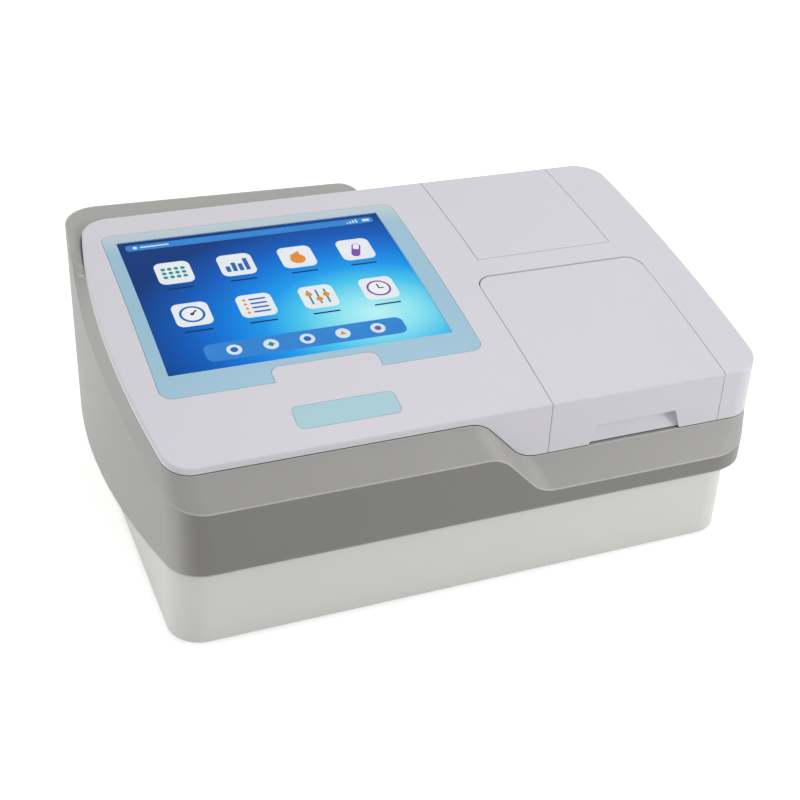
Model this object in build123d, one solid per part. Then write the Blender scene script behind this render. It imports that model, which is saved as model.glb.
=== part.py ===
from build123d import *
import math
import os

# Bench microplate reader: plate compartment on the right, touch display on the left.
# Millimetres. X to the right, Y to the rear, Z up, origin on the bench under the middle.

# ---------------------------------------------------------------- casing sizes
HOUSING_WIDTH = 471.0
HOUSING_DEPTH = 316.0
HOUSING_WALL = 3.0
HOUSING_CORNER = {"front_left": 27.0, "front_right": 42.0, "rear_right": 36.0, "rear_left": 29.0}
HOUSING_BOW_RADIUS = 850.0   # the left side bulges gently outwards
HOUSING_BOW_Y = 24.0         # where it bulges most
FLANGE_WIDTH = 10.0          # inner flange that carries the top cover

COVER_INSET_LEFT = 5.0
COVER_INSET_RIGHT = 1.2
COVER_INSET_FRONT = 14.2
COVER_INSET_REAR = 21.2
COVER_CORNER = {"front_left": 20.0, "front_right": 22.0, "rear_right": 24.0, "rear_left": 24.0}
COVER_BOW_RADIUS = 690.0
COVER_BOW_Y = -8.0
COVER_SKIN = 3.2
COVER_LIP = 4.3              # height of the cover's edge along the high side
COVER_EDGE_ROUND = 1.8
COVER_FRONT_Z = 142.1        # top edge of the cover at its front
COVER_REAR_Z = 197.9         # and at its rear
TOP_RADIUS = 1715.0          # the top is one long arc from front to rear
COVER_SEAM = 0.8             # shadow gap between the cover and the housing
SEAM = 0.5

STEP_DROP = 34.2             # the right side lies this much lower
STEP_ROUND = 27.0
COVER_STEP_X = 18.9          # middle of the S in the cover's edge
CREASE_STEP_X = 29.9         # and of the S in the housing's crease
CREASE_DROP_FRONT = 22.5
CREASE_DROP_SIDE = 24.0
CREASE_DROP_REAR = 8.0       # at the rear right corner; it rises to the top arc at the rear left
CREASE_RISE_START_Y = 30.0   # along each side the crease climbs between these two
CREASE_RISE_END_Y = 115.0
FASCIA_OVERRUN = 0.6         # the bevel is cut this share of its width beyond the crease
STEP_SPAN = 34.0             # half the width over which the step comes down
STEP_SECTIONS = 18
SIDE_SECTIONS = 10
CORNER_SECTIONS = 10

PARTING_FRONT_Z = 65.0       # the base and the housing part on a sloping line
PARTING_SLOPE = 6.5
BASE_INSET_LEFT = 14.6
BASE_INSET_RIGHT = 15.8
BASE_INSET_FRONT = 8.0
BASE_CORNER = 24.0
BASE_WALL = 3.0
BASE_OVERLAP = 5.5           # how far the base's rim reaches up inside the housing
BASE_RIM_INSET = 1.6         # the rim stands this far in from the base's outer face
BASE_CLEARANCE = 0.4
BASE_SEAT_GAP = 0.3          # between the housing and the shoulder that it sits on

FOOT_HEIGHT = 3.0
FOOT_RADIUS = 9.0
FOOT_INSET = 32.0
FOOT_STEM_RADIUS = 3.5

# ---------------------------------------------------------------- plate lid and optics cover
LID_TO_RIGHT = 107.8         # middle of the plate path from the housing's right side
LID_WIDTH = 143.4
LID_REAR_Y = -4.0
LID_CORNER = 13.0
LID_GAP = 0.5
LID_RIB = 2.0
LID_RIB_DEPTH = 7.0
NOTCH_WIDTH = 77.7
NOTCH_TOP_WIDTH = 66.0
NOTCH_HEIGHT = 15.6
NOTCH_DEPTH = 9.0
NOTCH_WALL = 2.2
NOTCH_LIP = 0.8              # thickness taken off the front at the notch's lower edge
OPTICS_COVER_WIDTH = 118.0
OPTICS_COVER_FRONT_Y = 16.3
BARREL_RADIUS = 2.6
BARREL_COVER = 0.4           # how far the barrels lie under the lid's top face
PIN_RADIUS = 1.2
PIN_CLEARANCE = 0.04
PIN_SEAT = 4.5
LUG_WALL = 3.2

# ---------------------------------------------------------------- display
SCREEN_WIDTH = 211.2         # a 10.4-inch panel, 4:3
SCREEN_LENGTH = 161.0
SCREEN_TO_LEFT = 38.6
SCREEN_FRONT_Y = -60.1
GLASS_BORDER = 2.4
GLASS_THICKNESS = 1.1
GLASS_RECESS = 0.9
PANEL_THICKNESS = 6.0
BEZEL_LEFT = 10.3
BEZEL_RIGHT = 16.2
BEZEL_FRONT = 22.1
BEZEL_REAR = 12.5
BEZEL_THICKNESS = 1.8
BEZEL_CORNER = 9.0
BEZEL_SEAM = 0.3
TAB_WIDTH = 79.0             # notch in the bezel's lower edge
TAB_DEPTH = 15.0
TAB_CORNER = 7.0
TAB_RIGHT = 148.3            # its right end from the screen's left edge
LABEL_WIDTH = 75.0
LABEL_LENGTH = 21.0
LABEL_TO_SCREEN = 108.8      # its middle from the screen's left edge
LABEL_TO_FRONT = 27.0        # and from the cover's front
LABEL_CORNER = 5.0
LABEL_THICKNESS = 0.8

# ---------------------------------------------------------------- plate transport
CHASSIS_Z = 12.0
CHASSIS_THICKNESS = 1.5
CHASSIS_GAP = 2.0
BOSS_RADIUS = 5.0
SCREW_RADIUS = 1.5
SCREW_HEAD_RADIUS = 3.2
SCREW_HEAD_HEIGHT = 2.0
SCREW_CLEARANCE = 0.1
LINER_FLOOR_Z = 82.0
LINER_WALL = 2.0
LINER_LOW_WALL = 16.0        # height of its walls under the optics deck
LINER_TO_FRONT = 12.8        # behind the cover's front
LINER_TO_REAR = 6.8          # before the cover's rear
LINER_BACK_WALL = 10.5       # its back wall stands this far before the lid's rear edge
LINER_BACK_DROP = 15.5       # and ends this far under the lid's axis
LINER_SWING_DROP = 20.0      # the side walls beside the lugs end this far under the top
LINER_POST = 10.0
LINER_TOP_CLEARANCE = 1.0
PLATE_WIDTH = 127.76         # standard microplate footprint
PLATE_DEPTH = 85.48
PLATE_HEIGHT = 14.35
PLATE_CLEARANCE = 0.4
WELL_PITCH = 9.0
CARRIER_Z = 102.0
CARRIER_THICKNESS = 3.0
CARRIER_RIM = 5.0
CARRIER_BORDER = 5.7
CARRIER_GAP_FRONT = 3.0
CARRIER_SIDE_GAP = 2.8
CARRIER_TRAVEL = 140.0
CARRIER_LEDGE = 4.6          # what the plate's skirt rests on
ROD_RADIUS = 3.0
ROD_Z = 95.5
ROD_X = 66.0                 # each side of the plate path
RUNNING_FIT = 0.05
BUSHING_RADIUS = 5.0
BUSHING_LENGTH = 14.0
BUSHING_BLOCK = 12.0
BUSHING_INSET = 12.0
SUPPORT_LENGTH = 9.0
ROD_GAP_REAR = 18.0
BELT_X = -57.0
BELT_Z = 94.0
BELT_WIDTH = 3.6
BELT_THICKNESS = 1.0
PULLEY_RADIUS = 5.6
PULLEY_FLANGE = 7.4
PULLEY_FLANGE_WIDTH = 0.6
PULLEY_DRUM_WIDTH = 4.4
PULLEY_GAP_FRONT = 10.0
PULLEY_GAP_REAR = 9.0
BELT_SLACK = 0.1
DRIVE_SHAFT_RADIUS = 2.5
IDLER_PIN_RADIUS = 2.0
MOTOR_SIZE = 35.0
MOTOR_LENGTH = 34.0
MOTOR_CHAMFER = 4.0
CLAMP_THICKNESS = 3.0
CLAMP_LENGTH = 20.0
CLAMP_WIDTH = 5.0
CLAMP_PIN_RADIUS = 1.5

# ---------------------------------------------------------------- optics
DECK_Z = 123.0
DECK_THICKNESS = 2.0
DECK_FRONT_Y = 6.0
READ_Y = 24.0
LENS_COUNT = 12
LENS_RADIUS = 2.6
LENS_DROP = 4.2
LENS_SLOT = 9.0
LENS_BLOCK_DEPTH = 20.0
LENS_BLOCK_HEIGHT = 14.0
LENS_BLOCK_WIDTH = 120.0
DETECTOR_Z = 72.0
DETECTOR_THICKNESS = 1.6
WHEEL_OFFSET_X = -8.0        # from the middle of the plate path
WHEEL_Y = 60.5
WHEEL_Z = 156.0
WHEEL_RADIUS = 24.0
WHEEL_THICKNESS = 4.0
WHEEL_HUB_RADIUS = 6.0
WHEEL_HUB_LENGTH = 8.0
WHEEL_SHAFT_RADIUS = 1.5
FILTER_COUNT = 6
FILTER_PITCH_RADIUS = 16.0
FILTER_RADIUS = 6.0
FILTER_THICKNESS = 3.0
WHEEL_MOTOR_SIZE = 20.0
WHEEL_MOTOR_LENGTH = 24.0
WHEEL_PLATE_Y = 51.0
WHEEL_PLATE_THICKNESS = 3.0
COUPLER_RADIUS = 5.0
COUPLER_LENGTH = 13.0
FIBRE_RADIUS = 3.5
FIBRE_BEND = 10.0
LAMP_BOX_WIDTH = 40.0
LAMP_BOX_FRONT_Y = 68.0
LAMP_BOX_DEPTH = 50.0
LAMP_BOX_HEIGHT = 52.0
LAMP_BOX_WALL = 2.0
LAMP_APERTURE = 6.0
LAMP_RADIUS = 6.0
LAMP_BASE = 14.0
FIN_COUNT = 6
FIN_THICKNESS = 1.5
FIN_DEPTH = 5.0

# ---------------------------------------------------------------- electronics and rear panel
SUPPLY_GAP_SIDE, SUPPLY_GAP_REAR = 16.5, 30.0
SUPPLY_WIDTH, SUPPLY_DEPTH, SUPPLY_HEIGHT = 100.0, 150.0, 44.0
BOARD_GAP_SIDE, BOARD_GAP_FRONT = 22.9, 30.0
BOARD_WIDTH, BOARD_DEPTH, BOARD_THICKNESS = 120.0, 180.0, 1.6
BOARD_HOLE_INSET = 6.0
HEAT_SINK_SIZE, HEAT_SINK_HEIGHT, HEAT_SINK_BASE = 40.0, 14.0, 3.0
HEAT_SINK_X, HEAT_SINK_Y = 40.0, 60.0
HEAT_SINK_FINS, HEAT_SINK_FIN = 8, 2.0
SOCKET_COUNT, SOCKET_PITCH, SOCKET_INSET = 4, 30.0, 8.0
SOCKET_BODY = (14.0, 20.0, 9.0)
CARD_SLOT = (15.0, 80.0, 6.0)
CARD_SLOT_INSET, CARD_SLOT_Y = 10.0, 40.0
STANDOFF_HEIGHT = 9.0
STANDOFF_RADIUS = 3.0
BRACKET_WIDTH = 236.0
BRACKET_LENGTH = 184.0
BRACKET_THICKNESS = 1.5
BRACKET_BOSS_RADIUS = 4.0
PANEL_GAP_LEFT, PANEL_WIDTH = 29.8, 254.0
PANEL_Z0, PANEL_Z1 = 44.0, 116.0
PANEL_METAL = 1.5
PANEL_OVERLAP = 4.0
INLET_OFFSET, SWITCH_OFFSET, FAN_OFFSET = 29.0, 70.0, 136.0
PANEL_MIDDLE_Z = 80.0
FLANGE_THICKNESS = 2.0
INLET_WIDTH, INLET_HEIGHT, INLET_DEPTH = 27.0, 19.8, 22.0
INLET_FLANGE = 2.5
SOCKET_WIDTH, SOCKET_HEIGHT, SOCKET_DEPTH = 24.2, 16.6, 15.5
SWITCH_WIDTH, SWITCH_HEIGHT, SWITCH_DEPTH = 14.0, 26.0, 15.0
ROCKER_WIDTH, ROCKER_HEIGHT = 10.0, 19.0
ROCKER_GAP = 0.4
ROCKER_RECESS = 8.6
ROCKER_TILT = 7.0
ROCKER_PROUD = 2.0
ROCKER_HOLLOW_RADIUS, ROCKER_HOLLOW_DEPTH = 20.5, 0.5
FAN_SIZE, FAN_DEPTH = 60.0, 20.0
FAN_BORE_RADIUS, FAN_BLADE_RADIUS, FAN_HUB_RADIUS = 28.5, 27.5, 14.0
FAN_BLADES = 7
FAN_SHAFT_RADIUS = 2.0
PORT_DEPTH = 14.0
PORT_LIP = 1.2

# ---------------------------------------------------------------- derived places
FRONT_Y = -HOUSING_DEPTH / 2
REAR_Y = HOUSING_DEPTH / 2
RIGHT_X = HOUSING_WIDTH / 2
LEFT_X = -HOUSING_WIDTH / 2
COVER_FRONT_Y = FRONT_Y + COVER_INSET_FRONT
COVER_REAR_Y = REAR_Y - COVER_INSET_REAR
BASE_X0, BASE_X1 = LEFT_X + BASE_INSET_LEFT, RIGHT_X - BASE_INSET_RIGHT
BASE_MIDDLE_X = (BASE_X0 + BASE_X1) / 2
BASE_FRONT_Y, BASE_REAR_Y = FRONT_Y + BASE_INSET_FRONT, REAR_Y - BASE_INSET_FRONT
PANEL_X0 = BASE_X0 + PANEL_GAP_LEFT
PANEL_X1 = PANEL_X0 + PANEL_WIDTH
LID_X = RIGHT_X - LID_TO_RIGHT
SCREEN_LEFT_X = LEFT_X + SCREEN_TO_LEFT
REACH = HOUSING_WIDTH        # long enough to pass right through the casing

# The top arc runs through the cover's front and rear edges; its centre lies far below the rear.
CHORD_Y = COVER_REAR_Y - COVER_FRONT_Y
CHORD_Z = COVER_REAR_Z - COVER_FRONT_Z
CHORD = math.hypot(CHORD_Y, CHORD_Z)
CHORD_TO_CENTRE = math.sqrt(TOP_RADIUS**2 - (CHORD / 2) ** 2)
ARC_Y = (COVER_FRONT_Y + COVER_REAR_Y) / 2 + CHORD_TO_CENTRE * CHORD_Z / CHORD
ARC_Z = (COVER_FRONT_Z + COVER_REAR_Z) / 2 - CHORD_TO_CENTRE * CHORD_Y / CHORD
ARC_AXIS = Axis((0, ARC_Y, ARC_Z), (1, 0, 0))
ARC_SPAN = 20.0              # degrees of arc that the casing needs
DEEP = 260.0                 # reaches below the base from anywhere on the arc


def top_z(y, drop=0.0):
    """Height of the top arc at y, drop below it along its radius."""
    return ARC_Z + math.sqrt((TOP_RADIUS - drop) ** 2 - (y - ARC_Y) ** 2)


def top_slope(y):
    """Slope of the top arc at y, in degrees."""
    return math.degrees(math.asin((ARC_Y - y) / TOP_RADIUS))


def step_depth(x, middle):
    """How far the S-shaped step has come down at x."""
    tangent = STEP_ROUND * math.tan(math.radians(22.5))
    ramp = STEP_DROP / 2
    bend = STEP_ROUND * math.sin(math.radians(45))
    run = x - middle + ramp + tangent
    if x > middle:
        return STEP_DROP - step_depth(2 * middle - x, middle)
    if run <= 0:
        return 0.0
    if run < bend:
        return STEP_ROUND - math.sqrt(STEP_ROUND**2 - run**2)
    return STEP_ROUND * (1 - math.cos(math.radians(45))) + run - bend


def arc_plane():
    """Plane through the centre of the top arc: x along X, y up its radius."""
    return Plane(origin=(0, ARC_Y, ARC_Z), x_dir=(1, 0, 0), z_dir=(0, -1, 0))


def band(drop_top, drop_bottom):
    """Everything between two depths under the top arc."""
    height = drop_bottom - drop_top
    section = Pos(0, TOP_RADIUS - drop_top - height / 2) * Rectangle(2 * REACH, height)
    return revolve(arc_plane() * section, ARC_AXIS, ARC_SPAN)


def under_step(drop, middle):
    """Everything under the top arc and its S-shaped step, drop further down."""
    high = TOP_RADIUS - drop
    low = high - STEP_DROP
    half = STEP_DROP / 2
    curve = FilletPolyline((-REACH, high), (middle - half, high), (middle + half, low), (REACH, low),
                           radius=STEP_ROUND)
    floor = high - DEEP
    rest = Polyline((REACH, low), (REACH, floor), (-REACH, floor), (-REACH, high))
    section = make_face(curve.edges() + rest.edges())
    return revolve(arc_plane() * section, ARC_AXIS, ARC_SPAN)


def outline_edges(left, right, front, rear, corner, bow_radius, bow_y):
    """Plan outline, anticlockwise from the front: four sides and four corners; the left side is bowed."""
    bow = Vector(left + bow_radius, bow_y)

    def bow_corner(y, radius, inward):
        centre_y = y + inward * radius
        centre = Vector(bow.X - math.sqrt((bow_radius - radius) ** 2 - (centre_y - bow.Y) ** 2), centre_y)
        touch = bow + (centre - bow).normalized() * bow_radius
        return centre, touch

    fl, fl_touch = bow_corner(front, corner["front_left"], 1)
    rl, rl_touch = bow_corner(rear, corner["rear_left"], -1)
    fr, rr = corner["front_right"], corner["rear_right"]
    diagonal = math.sqrt(0.5)

    def arc_mid(centre, radius, start, end):
        way = ((start - centre).normalized() + (end - centre).normalized()).normalized()
        return centre + way * radius

    fl_foot, rl_foot = Vector(fl.X, front), Vector(rl.X, rear)
    fr_mid = (right - fr + fr * diagonal, front + fr - fr * diagonal)
    rr_mid = (right - rr + rr * diagonal, rear - rr + rr * diagonal)
    bow_mid = Vector(bow.X - bow_radius, bow.Y)
    return [
        Edge.make_line(fl_foot, (right - fr, front)),
        Edge.make_three_point_arc((right - fr, front), fr_mid, (right, front + fr)),
        Edge.make_line((right, front + fr), (right, rear - rr)),
        Edge.make_three_point_arc((right, rear - rr), rr_mid, (right - rr, rear)),
        Edge.make_line((right - rr, rear), rl_foot),
        Edge.make_three_point_arc(rl_foot, arc_mid(rl, corner["rear_left"], rl_foot, rl_touch), rl_touch),
        Edge.make_three_point_arc(rl_touch, bow_mid, fl_touch),
        Edge.make_three_point_arc(fl_touch, arc_mid(fl, corner["front_left"], fl_touch, fl_foot), fl_foot),
    ]


def housing_edges(inset=0.0):
    corner = {name: radius - inset for name, radius in HOUSING_CORNER.items()}
    return outline_edges(LEFT_X + inset, RIGHT_X - inset, FRONT_Y + inset, REAR_Y - inset, corner,
                         HOUSING_BOW_RADIUS, HOUSING_BOW_Y)


def cover_edges(inset=0.0):
    corner = {name: radius - inset for name, radius in COVER_CORNER.items()}
    return outline_edges(LEFT_X + COVER_INSET_LEFT + inset, RIGHT_X - COVER_INSET_RIGHT - inset,
                         COVER_FRONT_Y + inset, COVER_REAR_Y - inset, corner, COVER_BOW_RADIUS, COVER_BOW_Y)


def prism(edges, low=0.0, high=None):
    """Upright solid over a plan outline."""
    top = 2 * COVER_REAR_Z if high is None else high
    face = Face(Wire(edges))
    if face.normal_at().Z < 0:
        face = -face
    return Pos(0, 0, low) * Part([Solid.extrude(face, Vector(0, 0, top - low))])


def base_prism(inset, low, high):
    plan = RectangleRounded(BASE_X1 - BASE_X0 - 2 * inset, BASE_REAR_Y - BASE_FRONT_Y - 2 * inset, BASE_CORNER - inset)
    return Pos(BASE_MIDDLE_X, 0, low) * extrude(plan, high - low)


def below_parting(raise_by=0.0):
    """Everything below the sloping line between base and housing, raised by a height."""
    slope = math.radians(PARTING_SLOPE)
    plane = Plane(origin=(0, FRONT_Y, PARTING_FRONT_Z + raise_by), x_dir=(1, 0, 0),
                  z_dir=(0, math.sin(slope), math.cos(slope)))
    return plane * Pos(0, 0, -DEEP / 2) * Box(2 * REACH, 4 * HOUSING_DEPTH, DEEP)


def block(x0, x1, y0, y1, z0, z1):
    """Box between two corners."""
    return Pos((x0 + x1) / 2, (y0 + y1) / 2, (z0 + z1) / 2) * Box(x1 - x0, y1 - y0, z1 - z0)


def rod_x(x0, x1, y, z, radius):
    """Cylinder along X."""
    return Pos((x0 + x1) / 2, y, z) * Rot(0, 90, 0) * Cylinder(radius, x1 - x0)


def rod_y(x, y0, y1, z, radius):
    """Cylinder along Y."""
    return Pos(x, (y0 + y1) / 2, z) * Rot(90, 0, 0) * Cylinder(radius, y1 - y0)


def rod_z(x, y, z0, z1, radius):
    """Cylinder along Z."""
    return Pos(x, y, (z0 + z1) / 2) * Cylinder(radius, z1 - z0)


# ---------------------------------------------------------------- mid housing
def crease_drop(place):
    """How far the crease lies under the top arc, before the step is added."""
    across = (place.X - LEFT_X) / HOUSING_WIDTH
    if place.Y < 0:
        return CREASE_DROP_FRONT + (CREASE_DROP_SIDE - CREASE_DROP_FRONT) * (place.Y - FRONT_Y) / -FRONT_Y
    climb = (place.Y - CREASE_RISE_START_Y) / (CREASE_RISE_END_Y - CREASE_RISE_START_Y)
    climb = min(1.0, max(0.0, climb))
    share = climb * climb * (3 - 2 * climb)
    return CREASE_DROP_SIDE + (CREASE_DROP_REAR * across - CREASE_DROP_SIDE) * share


def fascia_station(outer, inner):
    """Section of the cutter that bevels the housing from the cover's edge out to the crease."""
    outer_depth = crease_drop(outer) + step_depth(outer.X, CREASE_STEP_X)
    inner_depth = COVER_LIP + COVER_SEAM + step_depth(inner.X, COVER_STEP_X)
    crease = Vector(outer.X, outer.Y, top_z(outer.Y, outer_depth))
    seat = Vector(inner.X, inner.Y, top_z(inner.Y, inner_depth))
    beyond = crease + (crease - seat) * FASCIA_OVERRUN
    above = Vector(0, 0, STEP_DROP + CREASE_DROP_SIDE)
    return Wire.make_polygon([beyond, seat, seat + above, beyond + above * 2], close=True)


def long_side_sections(outer, inner):
    """Sections along the front or the rear, closer together where the S-shaped step comes down."""
    step = [STEP_SPAN * (2 * i / STEP_SECTIONS - 1) for i in range(STEP_SECTIONS + 1)]
    if outer.position_at(0).X > outer.position_at(1).X:
        step.reverse()
    pairs = [(outer.position_at(0).X, inner.position_at(0).X)]
    pairs += [(CREASE_STEP_X + x, COVER_STEP_X + x) for x in step]
    pairs += [(outer.position_at(1).X, inner.position_at(1).X)]
    crease_y, seat_y = outer.position_at(0).Y, inner.position_at(0).Y
    return [fascia_station(Vector(crease_x, crease_y), Vector(seat_x, seat_y)) for crease_x, seat_x in pairs]


def short_side_sections(outer, inner, first, last, count):
    """Sections from one share of a side or corner to another."""
    shares = [first + (last - first) * i / count for i in range(count + 1)]
    return [fascia_station(outer.position_at(share), inner.position_at(share)) for share in shares]


def fascia_cutter():
    """The bevel all round the housing, as two ruled lofts that meet at the middle of each side."""
    outer, inner = housing_edges(), cover_edges()

    def run(first_side):
        before, corner_a, long_side, corner_b, after = [(first_side + i) % len(outer) for i in range(5)]
        return (short_side_sections(outer[before], inner[before], 0.5, 1.0, SIDE_SECTIONS)
                + short_side_sections(outer[corner_a], inner[corner_a], 0.0, 1.0, CORNER_SECTIONS)[1:]
                + long_side_sections(outer[long_side], inner[long_side])[1:]
                + short_side_sections(outer[corner_b], inner[corner_b], 0.0, 1.0, CORNER_SECTIONS)[1:]
                + short_side_sections(outer[after], inner[after], 0.0, 0.5, SIDE_SECTIONS)[1:])

    left_side, right_side = 6, 2
    return [Part([Solid.make_loft(run(side), ruled=True)]) for side in (left_side, right_side)]


def panel_opening():
    inset = PANEL_OVERLAP
    return block(PANEL_X0 + inset, PANEL_X1 - inset, REAR_Y - 2 * HOUSING_WALL, REAR_Y + HOUSING_WALL,
                 PANEL_Z0 + inset, PANEL_Z1 - inset)


def mid_housing():
    body = prism(housing_edges()) & under_step(-COVER_SEAM, CREASE_STEP_X)
    body -= prism(cover_edges()) - under_step(COVER_LIP + COVER_SEAM, COVER_STEP_X)
    for cutter in fascia_cutter():
        body -= cutter
    body -= below_parting()
    skirt_room = prism(housing_edges(HOUSING_WALL)) & under_step(CREASE_DROP_SIDE + HOUSING_WALL, CREASE_STEP_X)
    body -= skirt_room - below_parting(HOUSING_WALL)
    flange_room = prism(cover_edges(HOUSING_WALL + 1)) & under_step(COVER_LIP + COVER_SEAM + HOUSING_WALL, COVER_STEP_X)
    body -= flange_room - below_parting(HOUSING_WALL)
    body -= prism(cover_edges(FLANGE_WIDTH)) - below_parting(HOUSING_WALL)
    body -= base_prism(BASE_RIM_INSET - BASE_CLEARANCE, 0, COVER_FRONT_Z) & below_parting(2 * HOUSING_WALL)
    return body - panel_opening()


def base_tub():
    body = base_prism(0, FOOT_HEIGHT, COVER_FRONT_Z) & below_parting(-BASE_SEAT_GAP)
    body += base_prism(BASE_RIM_INSET, FOOT_HEIGHT, COVER_FRONT_Z) & below_parting(BASE_OVERLAP)
    body -= base_prism(BASE_WALL, FOOT_HEIGHT + BASE_WALL, COVER_FRONT_Z)
    for x, y in boss_places():
        body += rod_z(x, y, FOOT_HEIGHT + BASE_WALL, CHASSIS_Z, BOSS_RADIUS)
        body -= rod_z(x, y, FOOT_HEIGHT + BASE_WALL, CHASSIS_Z, SCREW_RADIUS + SCREW_CLEARANCE)
    for x, y in foot_places():
        body -= rod_z(x, y, FOOT_HEIGHT, FOOT_HEIGHT + BASE_WALL, FOOT_STEM_RADIUS + SCREW_CLEARANCE)
    return body


def foot_places():
    xs = (BASE_X0 + FOOT_INSET, BASE_X1 - FOOT_INSET)
    return [(x, y) for y in (BASE_FRONT_Y + FOOT_INSET, BASE_REAR_Y - FOOT_INSET) for x in xs]


def boss_places():
    inset = 2 * BASE_CORNER / 3
    xs = (BASE_X0 + inset, BASE_MIDDLE_X, BASE_X1 - inset)
    return [(x, y) for y in (BASE_FRONT_Y + inset, BASE_REAR_Y - inset) for x in xs]


def rubber_feet():
    feet = []
    for x, y in foot_places():
        foot = rod_z(x, y, 0, FOOT_HEIGHT, FOOT_RADIUS)
        foot = chamfer(foot.edges().group_by(Axis.Z)[0], FOOT_HEIGHT / 4)
        feet.append(foot + rod_z(x, y, FOOT_HEIGHT, FOOT_HEIGHT + BASE_WALL, FOOT_STEM_RADIUS))
    return feet


# ---------------------------------------------------------------- top cover and what sits in it
LID_X0, LID_X1 = LID_X - LID_WIDTH / 2, LID_X + LID_WIDTH / 2
OPTICS_X0, OPTICS_X1 = LID_X - OPTICS_COVER_WIDTH / 2, LID_X + OPTICS_COVER_WIDTH / 2
LID_AXIS_Y = LID_REAR_Y - LID_CORNER
LID_AXIS_Z = top_z(LID_AXIS_Y, BARREL_RADIUS + BARREL_COVER)
OPTICS_AXIS_Y = COVER_REAR_Y - BARREL_RADIUS
OPTICS_AXIS_Z = top_z(COVER_REAR_Y, COVER_LIP + STEP_DROP) + BARREL_RADIUS

SCREEN_X0, SCREEN_X1 = SCREEN_LEFT_X, SCREEN_LEFT_X + SCREEN_WIDTH
SCREEN_X = (SCREEN_X0 + SCREEN_X1) / 2
SCREEN_Y = SCREEN_FRONT_Y + SCREEN_LENGTH / 2 * math.cos(math.radians(top_slope(SCREEN_FRONT_Y)))
SCREEN_SLOPE = top_slope(SCREEN_Y)
SCREEN_SAG = TOP_RADIUS - math.sqrt(TOP_RADIUS**2 - (SCREEN_LENGTH / 2) ** 2)
GLASS_DROP = SCREEN_SAG + GLASS_RECESS
BEZEL_X0, BEZEL_X1 = SCREEN_X0 - BEZEL_LEFT, SCREEN_X1 + BEZEL_RIGHT
BEZEL_Y0 = SCREEN_FRONT_Y - BEZEL_FRONT
BEZEL_Y1 = 2 * SCREEN_Y - SCREEN_FRONT_Y + BEZEL_REAR
LABEL_X = SCREEN_X0 + LABEL_TO_SCREEN
LABEL_Y = COVER_FRONT_Y + LABEL_TO_FRONT


def cover_body():
    """The cover's outer form, still solid, down to the seam with the housing."""
    body = (prism(cover_edges()) & band(0, DEEP)) - under_step(COVER_LIP, COVER_STEP_X)
    top = [edge for edge in body.edges() if edge.center().Z > top_z(edge.center().Y, 1.0)]
    return fillet(top, COVER_EDGE_ROUND)


def cover_hollow():
    return prism(cover_edges(COVER_SKIN)) & band(COVER_SKIN, DEEP)


def lid_prism(gap=0.0):
    """Upright prism over the plate lid: open at the front, rounded at the rear."""
    width, far = LID_WIDTH - 2 * gap, 2 * HOUSING_DEPTH
    plan = RectangleRounded(width, far, LID_CORNER - gap)
    return Pos(LID_X, LID_REAR_Y - gap - far / 2) * extrude(plan, 2 * COVER_REAR_Z)


def optics_prism(gap=0.0):
    return block(OPTICS_X0 + gap, OPTICS_X1 - gap, OPTICS_COVER_FRONT_Y + gap, 2 * HOUSING_DEPTH, 0, 2 * COVER_REAR_Z)


def tilted(drop):
    """Plane parallel to the middle of the screen, drop below the top arc there."""
    slope = math.radians(SCREEN_SLOPE)
    origin = Vector(SCREEN_X, SCREEN_Y, top_z(SCREEN_Y)) - Vector(0, -math.sin(slope), math.cos(slope)) * drop
    return Plane(origin=origin, x_dir=(1, 0, 0), z_dir=(0, -math.sin(slope), math.cos(slope)))


def slab(width, length, drop, thickness):
    """Flat plate parallel to the screen with its upper face at drop."""
    return tilted(drop) * Pos(0, 0, -thickness / 2) * Box(width, length, thickness)


def bezel_prism(gap=0.0):
    """Upright prism over the display bezel, with the tab notched out of its lower edge."""
    width, depth = BEZEL_X1 - BEZEL_X0, BEZEL_Y1 - BEZEL_Y0
    plan = Pos((BEZEL_X0 + BEZEL_X1) / 2, (BEZEL_Y0 + BEZEL_Y1) / 2) * RectangleRounded(
        width - 2 * gap, depth - 2 * gap, BEZEL_CORNER - gap)
    tab = Pos(SCREEN_X0 + TAB_RIGHT - TAB_WIDTH / 2, BEZEL_Y0) * RectangleRounded(
        TAB_WIDTH + 2 * gap, 2 * (TAB_DEPTH + gap), TAB_CORNER + gap)
    return extrude(plan - tab, 2 * COVER_REAR_Z)


def label_prism(gap=0.0):
    plan = RectangleRounded(LABEL_WIDTH - 2 * gap, LABEL_LENGTH - 2 * gap, LABEL_CORNER - gap)
    return Pos(LABEL_X, LABEL_Y) * extrude(plan, 2 * COVER_REAR_Z)


def hinge_lugs(x0, x1, y, z, top):
    """Two bosses under the cover's skin that take the ends of a hinge pin."""
    reach = BARREL_RADIUS + LUG_WALL
    lugs = block(x0 - PIN_SEAT - LUG_WALL, x0 + LID_CORNER, y - reach, y + reach, z - reach, top)
    return lugs + block(x1 - LID_CORNER, x1 + PIN_SEAT + LUG_WALL, y - reach, y + reach, z - reach, top)


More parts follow.
